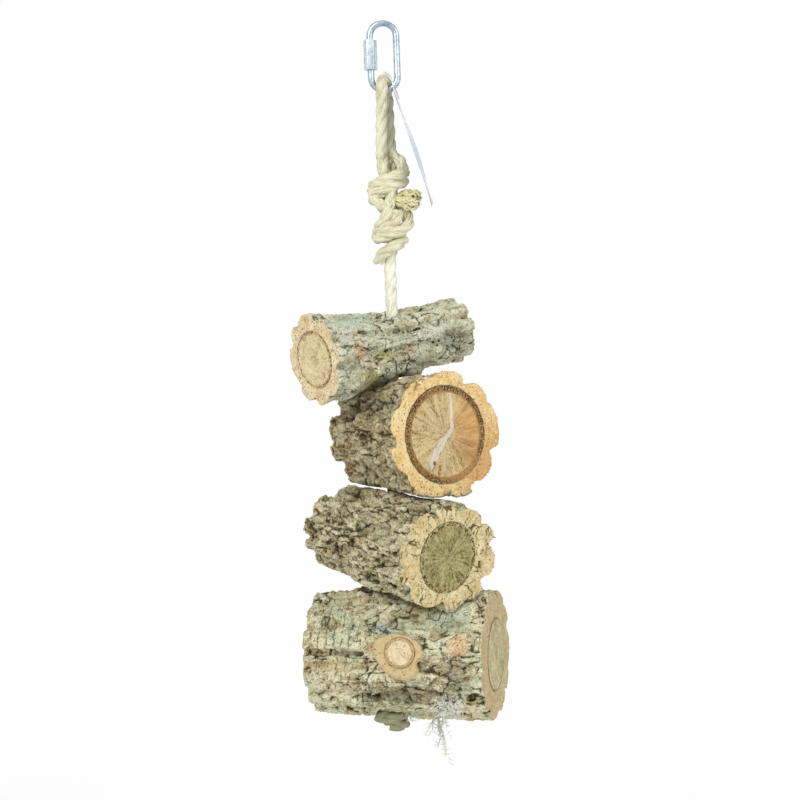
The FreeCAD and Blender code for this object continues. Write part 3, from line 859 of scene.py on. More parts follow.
def carved(shape: bmesh.types.BMesh, radius: float, low: float, high: float) -> bmesh.types.BMesh:
    """Shape with a round upright hole through its middle.

    Args:
        shape: The shape, which is freed.
        radius: The hole's radius in millimetres.
        low: Its lower end.
        high: Its upper end.

    Returns:
        The shape with the hole.
    """
    block = bare_object("block", mesh_of(shape, "block"))
    drill = bmesh.new()
    bmesh.ops.create_cone(drill, cap_ends=True, segments=32, radius1=radius * MM, radius2=radius * MM,
                          depth=(high - low) * MM)
    bmesh.ops.translate(drill, verts=drill.verts, vec=mm(0, 0, (low + high) / 2))
    tool = bare_object("drill", mesh_of(drill, "drill"))
    cut = block.modifiers.new("cut", "BOOLEAN")
    cut.operation = "DIFFERENCE"
    cut.object = tool
    mesh = settled(block, "carved")
    bpy.data.objects.remove(tool)
    return shape_of(mesh)


def spline(points: Sequence[Vector], detail: int = 16) -> bpy.types.Object:
    """Smooth open curve with a route's points as its control points.

    Args:
        points: The route.
        detail: Steps between two control points.

    Returns:
        The curve's object.
    """
    curve = bpy.data.curves.new("route", "CURVE")
    curve.dimensions = "3D"
    line = curve.splines.new("NURBS")
    line.points.add(len(points) - 1)
    for knot, point in zip(line.points, points):
        knot.co = (*point, 1.0)
    line.order_u = 3
    line.use_endpoint_u = True
    line.resolution_u = detail
    return bare_object("route", curve)


def followed(points: Sequence[Vector], detail: int = 16) -> list[Vector]:
    """Points that a piece on a route follows, read from the route's smooth curve.

    Args:
        points: The route.
        detail: Steps between two control points.

    Returns:
        The points.
    """
    line = spline(points, detail)
    mesh = settled(line, "line")
    path = [vertex.co.copy() for vertex in mesh.vertices]
    bpy.data.meshes.remove(mesh)
    return path


def cords_mesh(lines: Sequence[Line], sides: int, name: str) -> bpy.types.Mesh:
    """Round cords along runs of points, as one mesh.

    Args:
        lines: The cords.
        sides: Sides of a cord's section, even.
        name: Name of the mesh.

    Returns:
        The mesh.
    """
    curve = bpy.data.curves.new(name, "CURVE")
    curve.dimensions = "3D"
    curve.bevel_depth = 1.0
    curve.bevel_resolution = max(0, sides // 2 - 2)
    curve.use_fill_caps = True
    for points, radius, taper in lines:
        line = curve.splines.new("POLY")
        line.points.add(len(points) - 1)
        for i, (knot, point) in enumerate(zip(line.points, points)):
            knot.co = (*point, 1.0)
            knot.radius = radius * (1 + (taper - 1) * i / (len(points) - 1))
    return settled(bare_object(name, curve), name)


@dataclass
class Rope:
    """Laid rope of three strands along a route."""

    diameter: float = 7.6
    lay_length: float = 27.0
    strand_share: float = 0.57
    strand_offset: float = 0.42
    strand_count: int = 3
    sides: int = 12
    run_turn: float = 0.7

    def strands(self, path: Sequence[Vector], start: float = 0.0) -> list[Line]:
        """Lines of the strands round a path.

        Args:
            path: The rope's middle, in metres.
            start: Turn of the first strand, in radians.

        Returns:
            The strands.
        """
        radius = self.diameter / 2 * MM
        ahead = (path[1] - path[0]).normalized()
        side = ahead.orthogonal().normalized()
        turned = start
        reach = radius * self.strand_offset
        rows: list[list[Vector]] = [[] for _ in range(self.strand_count)]
        for i, point in enumerate(path):
            onward = (path[min(i + 1, len(path) - 1)] - path[max(i - 1, 0)]).normalized()
            side = (side - onward * side.dot(onward)).normalized()
            other = onward.cross(side)
            if i:
                turned += (point - path[i - 1]).length / (self.lay_length * MM) * math.tau
            for strand, row in enumerate(rows):
                angle = turned + strand * math.tau / self.strand_count
                row.append(point + side * (reach * math.cos(angle)) + other * (reach * math.sin(angle)))
        return [(row, radius * self.strand_share, 1.0) for row in rows]

    def lay(self, name: str, body: str, routes: Sequence[Sequence[Vector]], finish: bpy.types.Material,
            detail: int = 16) -> tuple[bpy.types.Object, list[Vector]]:
        """Make rope along routes, as one piece.

        Args:
            name: The piece's name.
            body: The body it rides on.
            routes: Control points of each run.
            finish: Its material.
            detail: Steps between two control points.

        Returns:
            The piece and the first run's path.
        """
        lines = []
        first = None
        for i, route in enumerate(routes):
            path = followed(route, detail)
            first = first or path
            lines += self.strands(path, self.run_turn * i)
        mesh = cords_mesh(lines, self.sides, name)
        self.scale_map(mesh, first)
        return piece_of(name, body, mesh, finish), first

    def scale_map(self, mesh: bpy.types.Mesh, path: Sequence[Vector]) -> None:
        """Stretch the UV map so that it counts millimetres round and along a strand.

        Args:
            mesh: The rope's mesh.
            path: The first run's path.
        """
        length = sum((after - before).length for before, after in zip(path, path[1:])) / MM
        round_it = math.pi * self.diameter * self.strand_share
        for corner in mesh.uv_layers[0].data:
            corner.uv = (corner.uv[0] * round_it, corner.uv[1] * length)


class Knot(Enum):
    """The knots that the photograph shows."""

    UPPER = "upper_knot"
    LOWER = "lower_knot"
    BOTTOM = "bottom_knot"


KNOT_RUNS: dict[Knot, tuple[tuple[Point, ...], ...]] = {
    Knot.UPPER: (
        ((2.2, 3.0, -75.5), (5.0, 2.0, -79.0), (8.8, -1.0, -82.5), (9.0, -4.5, -88.0),
         (4.0, -3.0, -92.5), (0.0, 3.0, -95.0)),
        ((-3.4, -2.6, -76.0), (-3.2, -4.0, -83.0), (-2.0, -4.0, -90.0), (0.0, 0.0, -96.0)),
        ((5.0, 7.5, -86.0), (10.2, 3.0, -87.5), (8.8, -5.5, -89.5), (0.5, -9.4, -92.0),
         (-8.0, -6.5, -95.0), (-10.4, 1.0, -98.0), (-4.5, 8.6, -97.0), (5.0, 8.8, -93.5),
         (10.0, 1.5, -93.0), (6.5, -6.6, -95.4), (-1.5, -8.6, -97.6), (-8.4, -5.4, -100.5),
         (-9.6, 0.5, -104.0), (-4.0, 5.0, -106.0), (3.0, 4.0, -104.0)),
        ((-8.5, -3.0, -98.0), (-8.8, -4.2, -103.0), (-5.5, -5.2, -107.0), (-1.0, -2.0, -111.0)),
        ((0.8, -1.0, -92.0), (1.6, -5.8, -99.0), (0.8, -6.4, -105.0), (-0.6, -4.6, -112.0)),
        ((2.0, 2.0, -80.0), (3.0, 3.0, -92.0), (1.0, 2.0, -108.0)),
    ),
    Knot.LOWER: (
        ((1.0, 2.0, -108.0), (8.0, 1.0, -111.0), (11.6, -1.5, -115.0), (10.8, -4.5, -121.0),
         (4.0, -8.6, -124.5), (-4.0, -8.4, -126.5), (-8.8, -2.0, -127.0), (-5.0, 6.5, -126.0),
         (3.5, 7.6, -125.5), (8.4, 1.0, -127.5), (6.0, -5.8, -130.5), (-0.5, -7.6, -134.0),
         (-6.2, -4.6, -137.5), (-7.8, -1.5, -141.0)),
        ((-1.0, -2.0, -107.0), (0.0, -6.6, -112.0), (-3.2, -7.0, -117.0), (-7.0, -3.5, -121.0),
         (-5.5, 3.0, -124.0)),
        ((4.5, -5.0, -112.0), (5.0, -7.0, -117.0), (0.0, -8.4, -120.5), (-6.5, -5.8, -123.0),
         (-8.2, 0.0, -124.5)),
        ((-2.0, 3.0, -109.0), (3.0, 4.5, -118.0), (2.0, 3.0, -130.0), (-0.6, 0.8, -140.0)),
    ),
    Knot.BOTTOM: (
        ((0.0, 0.0, -237.6), (5.6, 0.4, -240.8), (4.4, -4.4, -242.8), (-1.5, -6.2, -244.4),
         (-6.2, -1.6, -245.6), (-3.6, 5.0, -246.0), (3.0, 5.4, -246.8), (6.2, 0.0, -247.8),
         (3.0, -4.6, -248.6), (-3.0, -3.4, -248.8)),
        ((-2.0, 0.0, -240.1), (-5.0, -2.0, -242.6), (-8.0, -1.0, -244.6), (-9.8, 1.5, -244.2)),
    ),
}


@dataclass(frozen=True)
class Yarn:
    """One kind of frayed yarn, in millimetres."""

    spread: float
    reach: tuple[float, float]
    curl: float
    radius: float
    taper: float


@dataclass
class Hanging:
    """The knotted rope, its frayed end and the run through the logs."""

    rope: Rope = field(default_factory=Rope)
    # The laid rope is lit. The knots and the bight take a darker, browner copy, painted shade in their
    # creases. The core and the bottom knot take a darker copy still, painted shade under the logs.
    lit_rope: RopeFinish = RopeFinish("laid_rope", srgb(240, 240, 222), srgb(222, 220, 194),
                                   srgb(172, 166, 130))
    tint_and_shade: RopeFinish = RopeFinish("knotted_rope", srgb(230, 227, 200), srgb(202, 198, 166),
                                  srgb(126, 110, 78))
    dull: RopeFinish = RopeFinish("shaded_rope", srgb(160, 161, 132), srgb(134, 134, 104),
                                  srgb(96, 93, 66))
    fray: FilamentFinish = FilamentFinish("frayed_yarn", srgb(236, 231, 192), srgb(190, 178, 126), 0.45)
    bight_radius: float = 6.1
    bar_x: float = -0.3
    bight_turn: float = 76.0
    foot_turn: float = 45.0
    foot_side: float = 3.9
    foot_height: float = -77.0
    stem_heights: Point = (-134.6, -156.0, -177.6)
    core_heights: Point = (-6.4, -122.0, -239.0)
    brush_foot: Point = (2.0, -2.5, -104.6)
    brush_heading: Point = (0.97, -0.22, -0.06)
    thick_yarns: int = 62
    fine_yarns: int = 58
    yarn_steps: int = 12
    thick: Yarn = Yarn(6.0, (11.5, 17.5), 1.2, 0.85, 0.8)
    fine: Yarn = Yarn(6.8, (12.0, 19.0), 0.8, 0.26, 0.4)
    seed: int = 5

    def loop_route(self) -> list[Vector]:
        """Route from one foot over the link's bar to the other.

        Returns:
            The route's control points, in metres.
        """
        turn = math.radians(self.bight_turn)
        out = Vector((math.cos(turn), math.sin(turn), 0.0))
        foot = math.radians(self.foot_turn)
        foot_out = Vector((math.cos(foot), math.sin(foot), 0.0)) * self.foot_side
        bar = Vector((self.bar_x, 0.0, BAR_HEIGHT))
        corner = self.bight_radius * math.tan(math.radians(22.5))
        half = []
        for side in (1, -1):
            across = out * side
            half.append([Vector((STEM_X, 0.0, self.foot_height)) + foot_out * side,
                         bar + across * self.bight_radius + Vector((0, 0, -corner)),
                         bar + across * self.bight_radius + Vector((0, 0, corner)),
                         bar + across * corner + Vector((0, 0, self.bight_radius))])
        return [point * MM for point in half[0] + half[1][::-1]]

    def knot(self, which: Knot, body: str, place: Matrix, finish: bpy.types.Material) -> bpy.types.Object:
        """Make one knot from its runs of rope.

        Args:
            which: Which knot.
            body: The body it rides on.
            place: The frame of its runs.
            finish: Its material.

        Returns:
            The knot.
        """
        routes = [[place @ mm(*point) for point in run] for run in KNOT_RUNS[which]]
        made, _ = self.rope.lay(which.value + "_rope", body, routes, finish, 8)
        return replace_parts(made, which.value)

    def frayed_end(self, finish: bpy.types.Material) -> bpy.types.Object:
        """Make the opened rope end between the knots.

        Args:
            finish: Its material.

        Returns:
            The frayed end.
        """
        draw = random.Random(self.seed)
        foot = Vector(self.brush_foot)
        heading = Vector(self.brush_heading).normalized()
        side = heading.orthogonal().normalized()
        other = heading.cross(side)
        lines = []
        for i in range(self.thick_yarns + self.fine_yarns):
            yarn = self.thick if i < self.thick_yarns else self.fine
            angle = draw.uniform(0, math.tau)
            spread = math.sqrt(draw.random()) * yarn.spread
            reach = draw.uniform(*yarn.reach)
            points = []
            for step in range(self.yarn_steps + 1):
                share = step / self.yarn_steps
                flare = 0.30 + 0.70 * min(1.0, share / 0.8) ** 0.8 - max(0.0, share - 0.8) * 0.9
                curl = yarn.curl * math.sin(share * 14 + i * 1.7) * share
                offset = side * (spread * flare * math.cos(angle + share * 0.7) + curl)
                offset += other * (spread * flare * math.sin(angle + share * 0.7) + curl * 0.5)
                points.append((foot + heading * (reach * share) + offset) * MM)
            lines.append((points, yarn.radius * MM, yarn.taper))
        mesh = cords_mesh(lines, 6, "frayed_brush")
        made = piece_of("frayed_brush", "loop", mesh, finish)
        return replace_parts(made, "frayed_end")

    def build(self) -> None:
        cream = self.lit_rope.material()
        # Darker copies of the rope finish: painted shade for the knots and the bight, and for the core and
        # the bottom knot.
        knotted = self.tint_and_shade.material()
        grey = self.dull.material()
        level = Matrix.Identity(4)
        upper = self.knot(Knot.UPPER, "loop", level, knotted)
        lower = self.knot(Knot.LOWER, "loop", level, knotted)
        brush = self.frayed_end(self.fray.material())
        loop, path = self.rope.lay("rope_bight", "loop", [self.loop_route()], knotted, 24)
        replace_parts(loop, "rope_loop")
        route = [mm(STEM_X, 0.0, height) for height in self.stem_heights]
        stem, path = self.rope.lay("rope_stem_strands", "stem", [route], cream, 40)
        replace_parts(stem, "rope_stem")
        place = stack_frame()
        route = [place @ mm(0.0, 0.0, height) for height in self.core_heights]
        core, path = self.rope.lay("rope_core_strands", "core", [route], grey, 120)
        bottom = self.knot(Knot.BOTTOM, "core", place, grey)
        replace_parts(core, "rope_core")


@dataclass
class QuickLink:
    """The zinc quick link: bent rod with threaded ends and a long hexagonal sleeve nut."""

    wire: float = 2.0
    arch: float = 7.9
    top: float = -5.9
    low: float = -30.5
    upper_end: float = -10.0
    lower_end: float = -15.5
    nut_top: float = -7.6
    nut_length: float = 18.6
    nut_corner: float = 4.157
    nut_bore: float = 2.1
    nut_wide_bore: float = 2.5
    wide_bore_length: float = 6.5
    nut_round: float = 0.85
    nut_edge: float = 0.25
    pitch: float = 0.7
    crest: float = 0.09
    ridge_share: float = 0.45
    ridge_flat: float = 0.7
    upper_thread: tuple[float, float] = (0.4, 5.6)
    lower_thread: tuple[float, float] = (-8.2, 10.6)
    steps: int = 28
    thread_steps: int = 18
    rod_sharp: float = 40.0
    nut_sharp: float = 25.0
    finish: ZincFinish = ZincFinish()
    nut_finish: ZincFinish = ZincFinish("zinc_plate_nut", srgb(214, 224, 228), srgb(166, 186, 196))

    def rod(self) -> bmesh.types.BMesh:
        """Bent rod, from its upper threaded end round to its lower one.

        Returns:
            The rod's shape.
        """
        shape = bmesh.new()
        bmesh.ops.create_circle(shape, cap_ends=False, segments=self.steps, radius=self.wire * MM)
        bmesh.ops.translate(shape, verts=shape.verts, vec=mm(-self.arch, 0, self.upper_end))
        bmesh.ops.contextual_create(shape, geom=shape.edges[:])
        rim = shape.edges[:]
        runs = (("rise", self.top - self.upper_end), ("bend", self.top), ("rise", self.low - self.top),
                ("bend", self.low), ("rise", self.lower_end - self.low))
        for kind, value in runs:
            if kind == "rise":
                made = bmesh.ops.extrude_edge_only(shape, edges=rim)["geom"]
                verts = [item for item in made if isinstance(item, bmesh.types.BMVert)]
                bmesh.ops.translate(shape, verts=verts, vec=mm(0, 0, value))
            else:
                made = bmesh.ops.spin(shape, geom=rim, cent=mm(0, 0, value), axis=(0, 1, 0), angle=math.pi,
                                      steps=self.steps, use_duplicate=False)["geom_last"]
            rim = [item for item in made if isinstance(item, bmesh.types.BMEdge)]
            rim = [edge for edge in rim if len(edge.link_faces) == 1]
        bmesh.ops.contextual_create(shape, geom=rim)
        bmesh.ops.recalc_face_normals(shape, faces=shape.faces)
        return shape

    def thread(self, start: float, turns: float) -> bmesh.types.BMesh:
        """Raised turns of the rod's thread.

        Args:
            start: Height of its lower end in millimetres.
            turns: How many turns it has.

        Returns:
            The thread's shape.
        """
        shape = bmesh.new()
        bmesh.ops.create_circle(shape, cap_ends=False, segments=3, radius=self.pitch * self.ridge_share * MM)
        stand = Matrix.Rotation(math.radians(90), 3, "X") @ Matrix.Rotation(math.radians(-90), 3, "Z")
        bmesh.ops.rotate(shape, verts=shape.verts, cent=(0, 0, 0), matrix=stand)
        bmesh.ops.scale(shape, verts=shape.verts, vec=(self.ridge_flat, 1, 1))
        tip = max(vert.co.x for vert in shape.verts)
        bmesh.ops.translate(shape, verts=shape.verts, vec=((self.wire + self.crest) * MM - tip, 0, 0))
        steps = int(self.thread_steps * turns)
        bmesh.ops.spin(shape, geom=shape.edges[:], cent=(0, 0, 0), axis=(0, 0, 1), angle=math.tau * turns,
                       steps=steps, dvec=(0, 0, self.pitch * turns / steps * MM), use_duplicate=False)
        bmesh.ops.holes_fill(shape, edges=[edge for edge in shape.edges if edge.is_boundary], sides=3)
        bmesh.ops.translate(shape, verts=shape.verts, vec=mm(-self.arch, 0, start))
        bmesh.ops.recalc_face_normals(shape, faces=shape.faces)
        return shape

    def nut(self) -> bmesh.types.BMesh:
        """Sleeve nut with turned ends and its two bores.

        Returns:
            The nut's shape.
        """
        base = self.nut_top - self.nut_length
        shape = bmesh.new()
        bmesh.ops.create_cone(shape, cap_ends=True, segments=6, radius1=self.nut_corner * MM,
                              radius2=self.nut_corner * MM, depth=self.nut_length * MM)
        flats_aside = Matrix.Rotation(math.radians(30), 3, "Z")
        bmesh.ops.rotate(shape, verts=shape.verts, cent=(0, 0, 0), matrix=flats_aside)
        upright = [edge for edge in shape.edges if abs(edge.verts[0].co.z - edge.verts[1].co.z) > MM]
        level = [edge for edge in shape.edges if edge not in upright]
        bmesh.ops.bevel(shape, geom=level, offset=self.nut_round * MM, segments=3, profile=0.5,
                        affect="EDGES", material=-1)
        long = self.nut_length / 2 * MM
        upright = [edge for edge in shape.edges if abs(edge.verts[0].co.z - edge.verts[1].co.z) > long]
        bmesh.ops.bevel(shape, geom=upright, offset=self.nut_edge * MM, segments=2, profile=0.5,
                        affect="EDGES", material=-1)
        middle = (base + self.nut_top) / 2
        bmesh.ops.translate(shape, verts=shape.verts, vec=mm(0, 0, middle))
        for radius, low, high in ((self.nut_bore, base - 1, self.nut_top + 1),
                                  (self.nut_wide_bore, base - 1, base + self.wide_bore_length)):
            shape = carved(shape, radius, low, high)
        bmesh.ops.translate(shape, verts=shape.verts, vec=mm(-self.arch, 0, 0))
        return shape

    def build(self) -> None:
        """Make the link."""
        zinc = self.finish.material()
        rod = self.rod()
        for end, (rise, turns) in ((self.upper_end, self.upper_thread), (self.lower_end, self.lower_thread)):
            coil = mesh_of(self.thread(end + rise, turns), "thread")
            rod.from_mesh(coil)
            bpy.data.meshes.remove(coil)
        made = piece_of("link_rod_round", "link", rod, zinc)
        made.data.set_sharp_from_angle(angle=math.radians(self.rod_sharp))
        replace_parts(made, "link_rod")
        made = piece_of("gate_nut_turned", "gate", self.nut(), self.nut_finish.material())
        made.data.set_sharp_from_angle(angle=math.radians(self.nut_sharp))
        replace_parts(made, "gate_nut")


@dataclass
class SwingTag:
    """Blank card on a thread over the rope's bight."""

    width: float = 36.0
    length: float = 70.0
    corner: float = 11.0
    thickness: float = 0.6
    lean: float = 16.5
    top: tuple[float, float] = (6.2, -40.2)
    hole_radius: float = 1.6
    hole_inset: float = 4.0
    curl: float = 1.8
    columns: int = 16
    rows: int = 28
    stand_off: float = 0.1
    thread_radius: float = 0.4
    thread_route: tuple[Point, ...] = (
        (7.12, -0.52, -44.10), (5.75, -1.3, -42.2), (4.88, -5.0, -34.9), (4.6, -5.0, -29.7),
        (-0.3, -2.5, -27.1), (-0.3, 2.5, -27.1), (4.6, 5.0, -29.7), (4.88, 5.0, -34.9), (8.24, 1.3, -41.5),
        (8.12, 0.52, -43.8))
    card: CardFinish = CardFinish()
    cotton: FilamentFinish = FilamentFinish("white_thread", srgb(248, 248, 246), srgb(214, 214, 216), 1.2)

    def blank(self) -> bmesh.types.BMesh:
        """Card with two cut corners, a hole and a slight curl, in its place.

        Returns:
            The card's shape.
        """
        shape = bmesh.new()
        bmesh.ops.create_grid(shape, x_segments=self.columns, y_segments=self.rows, size=0.5)
        bmesh.ops.scale(shape, verts=shape.verts, vec=(self.width * MM, self.length * MM, 1.0))
        bmesh.ops.translate(shape, verts=shape.verts, vec=mm(0, -self.length / 2, 0))
        for side in (-1, 1):
            foot = mm(side * (self.width / 2 - self.corner), 0, 0)
            whole = shape.verts[:] + shape.edges[:] + shape.faces[:]
            bmesh.ops.bisect_plane(shape, geom=whole, plane_co=foot, plane_no=(side, 1, 0), clear_outer=True)
        bmesh.ops.solidify(shape, geom=shape.faces[:], thickness=self.thickness * MM)
        bmesh.ops.recalc_face_normals(shape, faces=shape.faces)
        bmesh.ops.translate(shape, verts=shape.verts, vec=mm(0, self.hole_inset, 0))
        shape = carved(shape, self.hole_radius, -2, 2)
        bmesh.ops.translate(shape, verts=shape.verts, vec=mm(0, -self.hole_inset, 0))
        for vert in shape.verts:
            across = vert.co.x / (self.width / 2 * MM)
            down = -vert.co.y / (self.length * MM)
            sideways = across * 0.9 + across * across * 0.5
            vert.co.z += self.curl * MM * sideways * max(0.0, math.sin(math.pi * down)) ** 1.2
        stand = Matrix(((0, 0, 1, 0), (1, 0, 0, 0), (0, 1, 0, 0), (0, 0, 0, 1)))
        place = Matrix.Translation(mm(self.top[0] + self.stand_off, 0, self.top[1]))
        place = place @ Matrix.Rotation(-math.radians(self.lean), 4, "Y") @ stand
        bmesh.ops.transform(shape, matrix=place, verts=shape.verts)
        bmesh.ops.recalc_face_normals(shape, faces=shape.faces)
        return shape

    def build(self) -> None:
        """Make the card and its thread."""
        path = followed([mm(*point) for point in self.thread_route], 8)
        mesh = cords_mesh([(path, self.thread_radius * MM, 1.0)], 8, "tag_thread_cotton")
        thread = piece_of("tag_thread_cotton", "tag", mesh, self.cotton.material())
        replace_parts(thread, "tag_thread")
        card = piece_of("tag_card_blank", "tag", self.blank(), self.card.material(), smooth=False)
        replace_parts(card, "tag_card")


WANDER_SHIFTS = (Vector((0.0, 0.0, 0.0)), Vector((9.3, 1.5, 7.9)), Vector((3.4, 8.8, 5.1)))


def wander(at: Vector) -> Vector:
    """Smooth vector noise that is the same in each run."""
    return Vector([noise.noise(at + shift) for shift in WANDER_SHIFTS])


def border(at: Vector, width: float) -> float:
    """How near a point lies to the border between two noise cells, from 0 to 1."""
    near = noise.voronoi(at)[0]
    return max(0.0, 1 - (near[1] - near[0]) / width)


@dataclass(frozen=True)
class Relief:
    """How a log's bark is broken up, in millimetres."""

    plate: tuple[float, float] = (12.0, 7.0)
    plate_depth: float = 1.4
    crack_width: float = 0.15
    fissure_depth: float = 2.0
    fissure_width: float = 0.16
    pit_depth: float = 1.4
    pit_size: float = 5.5
    pit_share: float = 0.28
    pit_rim: float = 0.38
    cross_gap: float = 4.5
    cross_length: float = 26.0
    cross_width: float = 0.10
    cross_depth: float = 0.0
    crumble: float = 0.7
    fine: float = 0.4
    fine_scale: float = 2.3
    fine_width: float = 0.18
    calmed: float = 0.6
    lump: float = 0.8
    face_crack: float = 0.9
    face_width: float = 0.12
    face_cell: float = 6.0
    face_grain: float = 0.22
    seed: float = 0.0

    def skin(self, q: Vector, calm: float) -> tuple[float, float]:
        """Form of the skin at a point given in the log's own frame.

        Args:
            q: The point in millimetres.
            calm: How far the bark is whole here, from 0 to 1.

        Returns:
            Depth below the crowns in millimetres, and how far the point lies in a crack, from 0 to 1.
        """
        shift = Vector((self.seed * 7.3, self.seed * 3.1, self.seed * 5.7))
        warp = wander(q * 0.12 + shift) * 0.5
        cell = Vector((q.x / self.plate[0], q.y / self.plate[1], q.z / self.plate[1])) + warp + shift
        rough = 1 - calm
        whole = 1 - self.calmed * calm
        crack = border(cell, self.crack_width)
        fine = border(cell * self.fine_scale + warp, self.fine_width) * rough
        along = Vector((q.x * 0.04, q.y * 0.24, q.z * 0.24)) + warp * 0.8 + shift
        fissure = max(0.0, 1 - abs(noise.noise(along)) / self.fissure_width)
        patchy = 0.5 + 0.5 * noise.noise(q * 0.06 + shift)
        pits = noise.voronoi(q / self.pit_size + warp + shift)[0][0]
        pit = max(0.0, 1 - pits / self.pit_rim) * unit((patchy - 0.8 + self.pit_share) / 0.15) * rough
        across = 0.0
        if self.cross_depth:
            bar = Vector((q.x / self.cross_gap, q.y / self.cross_length, q.z / self.cross_length))
            across = border(bar + warp * 0.7 + shift, self.cross_width) * min(1.0, patchy * 1.5)
        crack *= whole
        fissure *= whole
        depth = crack * self.plate_depth + fissure * self.fissure_depth * patchy + pit * self.pit_depth
        depth += fine * self.plate_depth * self.fine + across * self.cross_depth
        crumble = noise.fractal(q * 0.55 + shift, 0.9, 2.1, 3)
        lump = noise.noise(q * 0.11 + shift * 2)
        depth += self.lump * (0.5 - lump) * 0.9 + self.crumble * (0.35 - crumble * (0.35 + 0.65 * rough))
        open_share = max(crack, fine * self.fine * 1.8, fissure * patchy * 1.6, pit, across)
        return depth, min(1.0, open_share)

    def face(self, q: Vector) -> float:
        """Depth below the sawn face.

        Args:
            q: A point in the log's own frame, in millimetres.

        Returns:
            The depth in millimetres.
        """
        shift = Vector((self.seed * 4.9, self.seed * 8.3, self.seed * 2.3))
        radius = math.hypot(q.y, q.z)
        around = math.atan2(q.y, q.z) * 30
        warp = wander(q * 0.2 + shift) * 0.5
        cell = Vector((around / self.face_cell, radius / (self.face_cell * 2.2), 0.0))
        crack = border(cell + warp + shift, self.face_width)
        patchy = unit(0.55 + 0.9 * noise.noise(q * 0.09 + shift))
        grain = noise.fractal(q * 0.7 + shift, 0.9, 2.1, 2)
        return crack * self.face_crack * patchy + self.face_grain * (0.3 - grain)


@dataclass
class CorkLog:
    """One log of the stack: its place, its sizes in millimetres and its finishes.

    The radii are those at the far end, in the middle and at the near end, and the wood is a share of them.
    A neighbour is a log above or below and the turns between which it moves, in degrees. A calm spot is the
    X, Z, half width and half height of a whole plate on the front.
    """

    name: str
    body: str
    heading: float
    dip: float
    length: float
    middle: tuple[float, float]
    radii: tuple[float, float, float]
    widen: float
    wood: float
    inner_bark: float
    axis_height: float
    relief: Relief
    cork: CorkFinish
    ring: InnerBarkFinish
    core: WoodFinish
    neighbours: tuple[tuple[str, float, float], ...]
    stub_shift: float | None = None
    calm_spots: tuple[tuple[float, float, float, float], ...] = ()
    voxel: float = 0.85
    quick_voxels: float = 2.2
    turns: int = 10
    proud: float = 0.4
    reach: float = 9.0
    clearance: float = 0.9
    bulge: float = 3.0
    fade: float = 2.5
    face_start: float = 1.1
    face_fade: float = 0.7
    full_relief: float = 3.5
    full_face: float = 1.4
    wall_rim: float = 0.2
    wall_fade: float = 1.0
    least_wall: float = 0.7
    bore_rim: float = 4.7
    bore_fade: float = 1.2
    pocket_rim: float = 11.4
    pocket_top: float = -225.0
    stub_rise: float = 4.5
    stub_reach: float = 19.0
    stub_proud: float = 2.0
    stub_fade: float = 1.6

    def rope_station(self) -> float:
        """Distance along the log from its middle to the rope."""
        turn = math.radians(self.heading)
        return -(self.middle[0] * math.cos(turn) + self.middle[1] * math.sin(turn))

    def place(self) -> Matrix:
        """Place of the log's own frame, X along the log from its middle.

        Returns:
            The place in metres.
        """
        turn = math.radians(self.heading)
        run = self.rope_station()
        x, y = self.middle
        at = mm(x + run * math.cos(turn), y + run * math.sin(turn), self.axis_height)
        place = stack_frame() @ Matrix.Translation(at) @ Matrix.Rotation(turn, 4, "Z")
        return place @ Matrix.Rotation(math.radians(self.dip), 4, "Y") @ Matrix.Translation(mm(-run, 0, 0))

    def wall(self, station: float) -> float:
        """Radius of the cork's inner wall.

        Args:
            station: How far along the log, from its middle.

        Returns:
            The radius in millimetres.
        """
        far = self.radii[0] * self.wood
        near = self.radii[2] * self.wood
        return (far + near) / 2 + (near - far) * station / self.length + self.inner_bark

    def start_mesh(self) -> bpy.types.Mesh:
        """Even fine mesh over the CAD bark.

        Returns:
            The mesh.
        """
        shape = shape_of(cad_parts[self.name + "_bark"].data)
        bmesh.ops.remove_doubles(shape, verts=shape.verts, dist=MERGE_GAP * MM)
        block = bare_object("block", mesh_of(shape, self.name))
        remesh = block.modifiers.new("even", "REMESH")
        remesh.mode = "VOXEL"
        remesh.voxel_size = self.voxel * 1.0 * MM
        return settled(block, self.name + "_cork")

    def turned_neighbours(self) -> list[BVHTree]:
        """CAD barks of the logs above and below, turned over the range of their joints.

        Returns:
            One search tree for each turn.
        """
        upright = stack_frame()
        trees = []
        for name, low, high in self.neighbours:
            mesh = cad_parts[name + "_bark"].data
            faces = [face.vertices for face in mesh.polygons]
            for step in range(self.turns):
                turn = Matrix.Rotation(math.radians(low + (high - low) * step / (self.turns - 1)), 4, "Z")
                turn = upright @ turn @ upright.inverted()
                trees.append(BVHTree.FromPolygons([turn @ vert.co for vert in mesh.vertices], faces))
        return trees

    def calm(self, at: Vector) -> float:
        """How far a point lies in a whole plate of the front.

        Args:
            at: The point in metres.

        Returns:
            The share from 0 to 1.
        """
        away = [math.hypot((at.x / MM - x) / wide, (at.z / MM - z) / high)
                for x, z, wide, high in self.calm_spots]
        return unit((1.0 - min(away)) / 0.25) if away else 0.0

    def swelling(self, trees: Sequence[BVHTree], at: Vector) -> tuple[float, float]:
        """How far the bark bulges towards a neighbour that it never touches.

        Args:
            trees: The turned neighbours.
            at: A point of the bark.

        Returns:
            The bulge, and the furthest that the bark may stand out, in millimetres.
        """
        near = self.reach * MM
        for tree in trees:
            found = tree.find_nearest(at, near)[3]
            near = near if found is None else min(near, found)
        room = near / MM
        free = max(0.0, (room - self.clearance) / 2)
        return min(self.bulge, free + 0.6) * min(1.0, (self.reach - room) / self.fade), free

    def on_stub(self, q: Vector) -> float:
        """How far a point lies on the cut branch's face.

        Args:
            q: The point in the log's own frame, in millimetres.

        Returns:
            The share from 0 to 1.
        """
        if self.stub_shift is None:
            return 0.0
        proud = -q.y - self.radii[1] * self.widen - self.stub_proud
        away = math.hypot(q.x - self.stub_shift, q.z - self.stub_rise)
        return unit(proud / self.stub_fade) * unit(self.stub_reach - away)

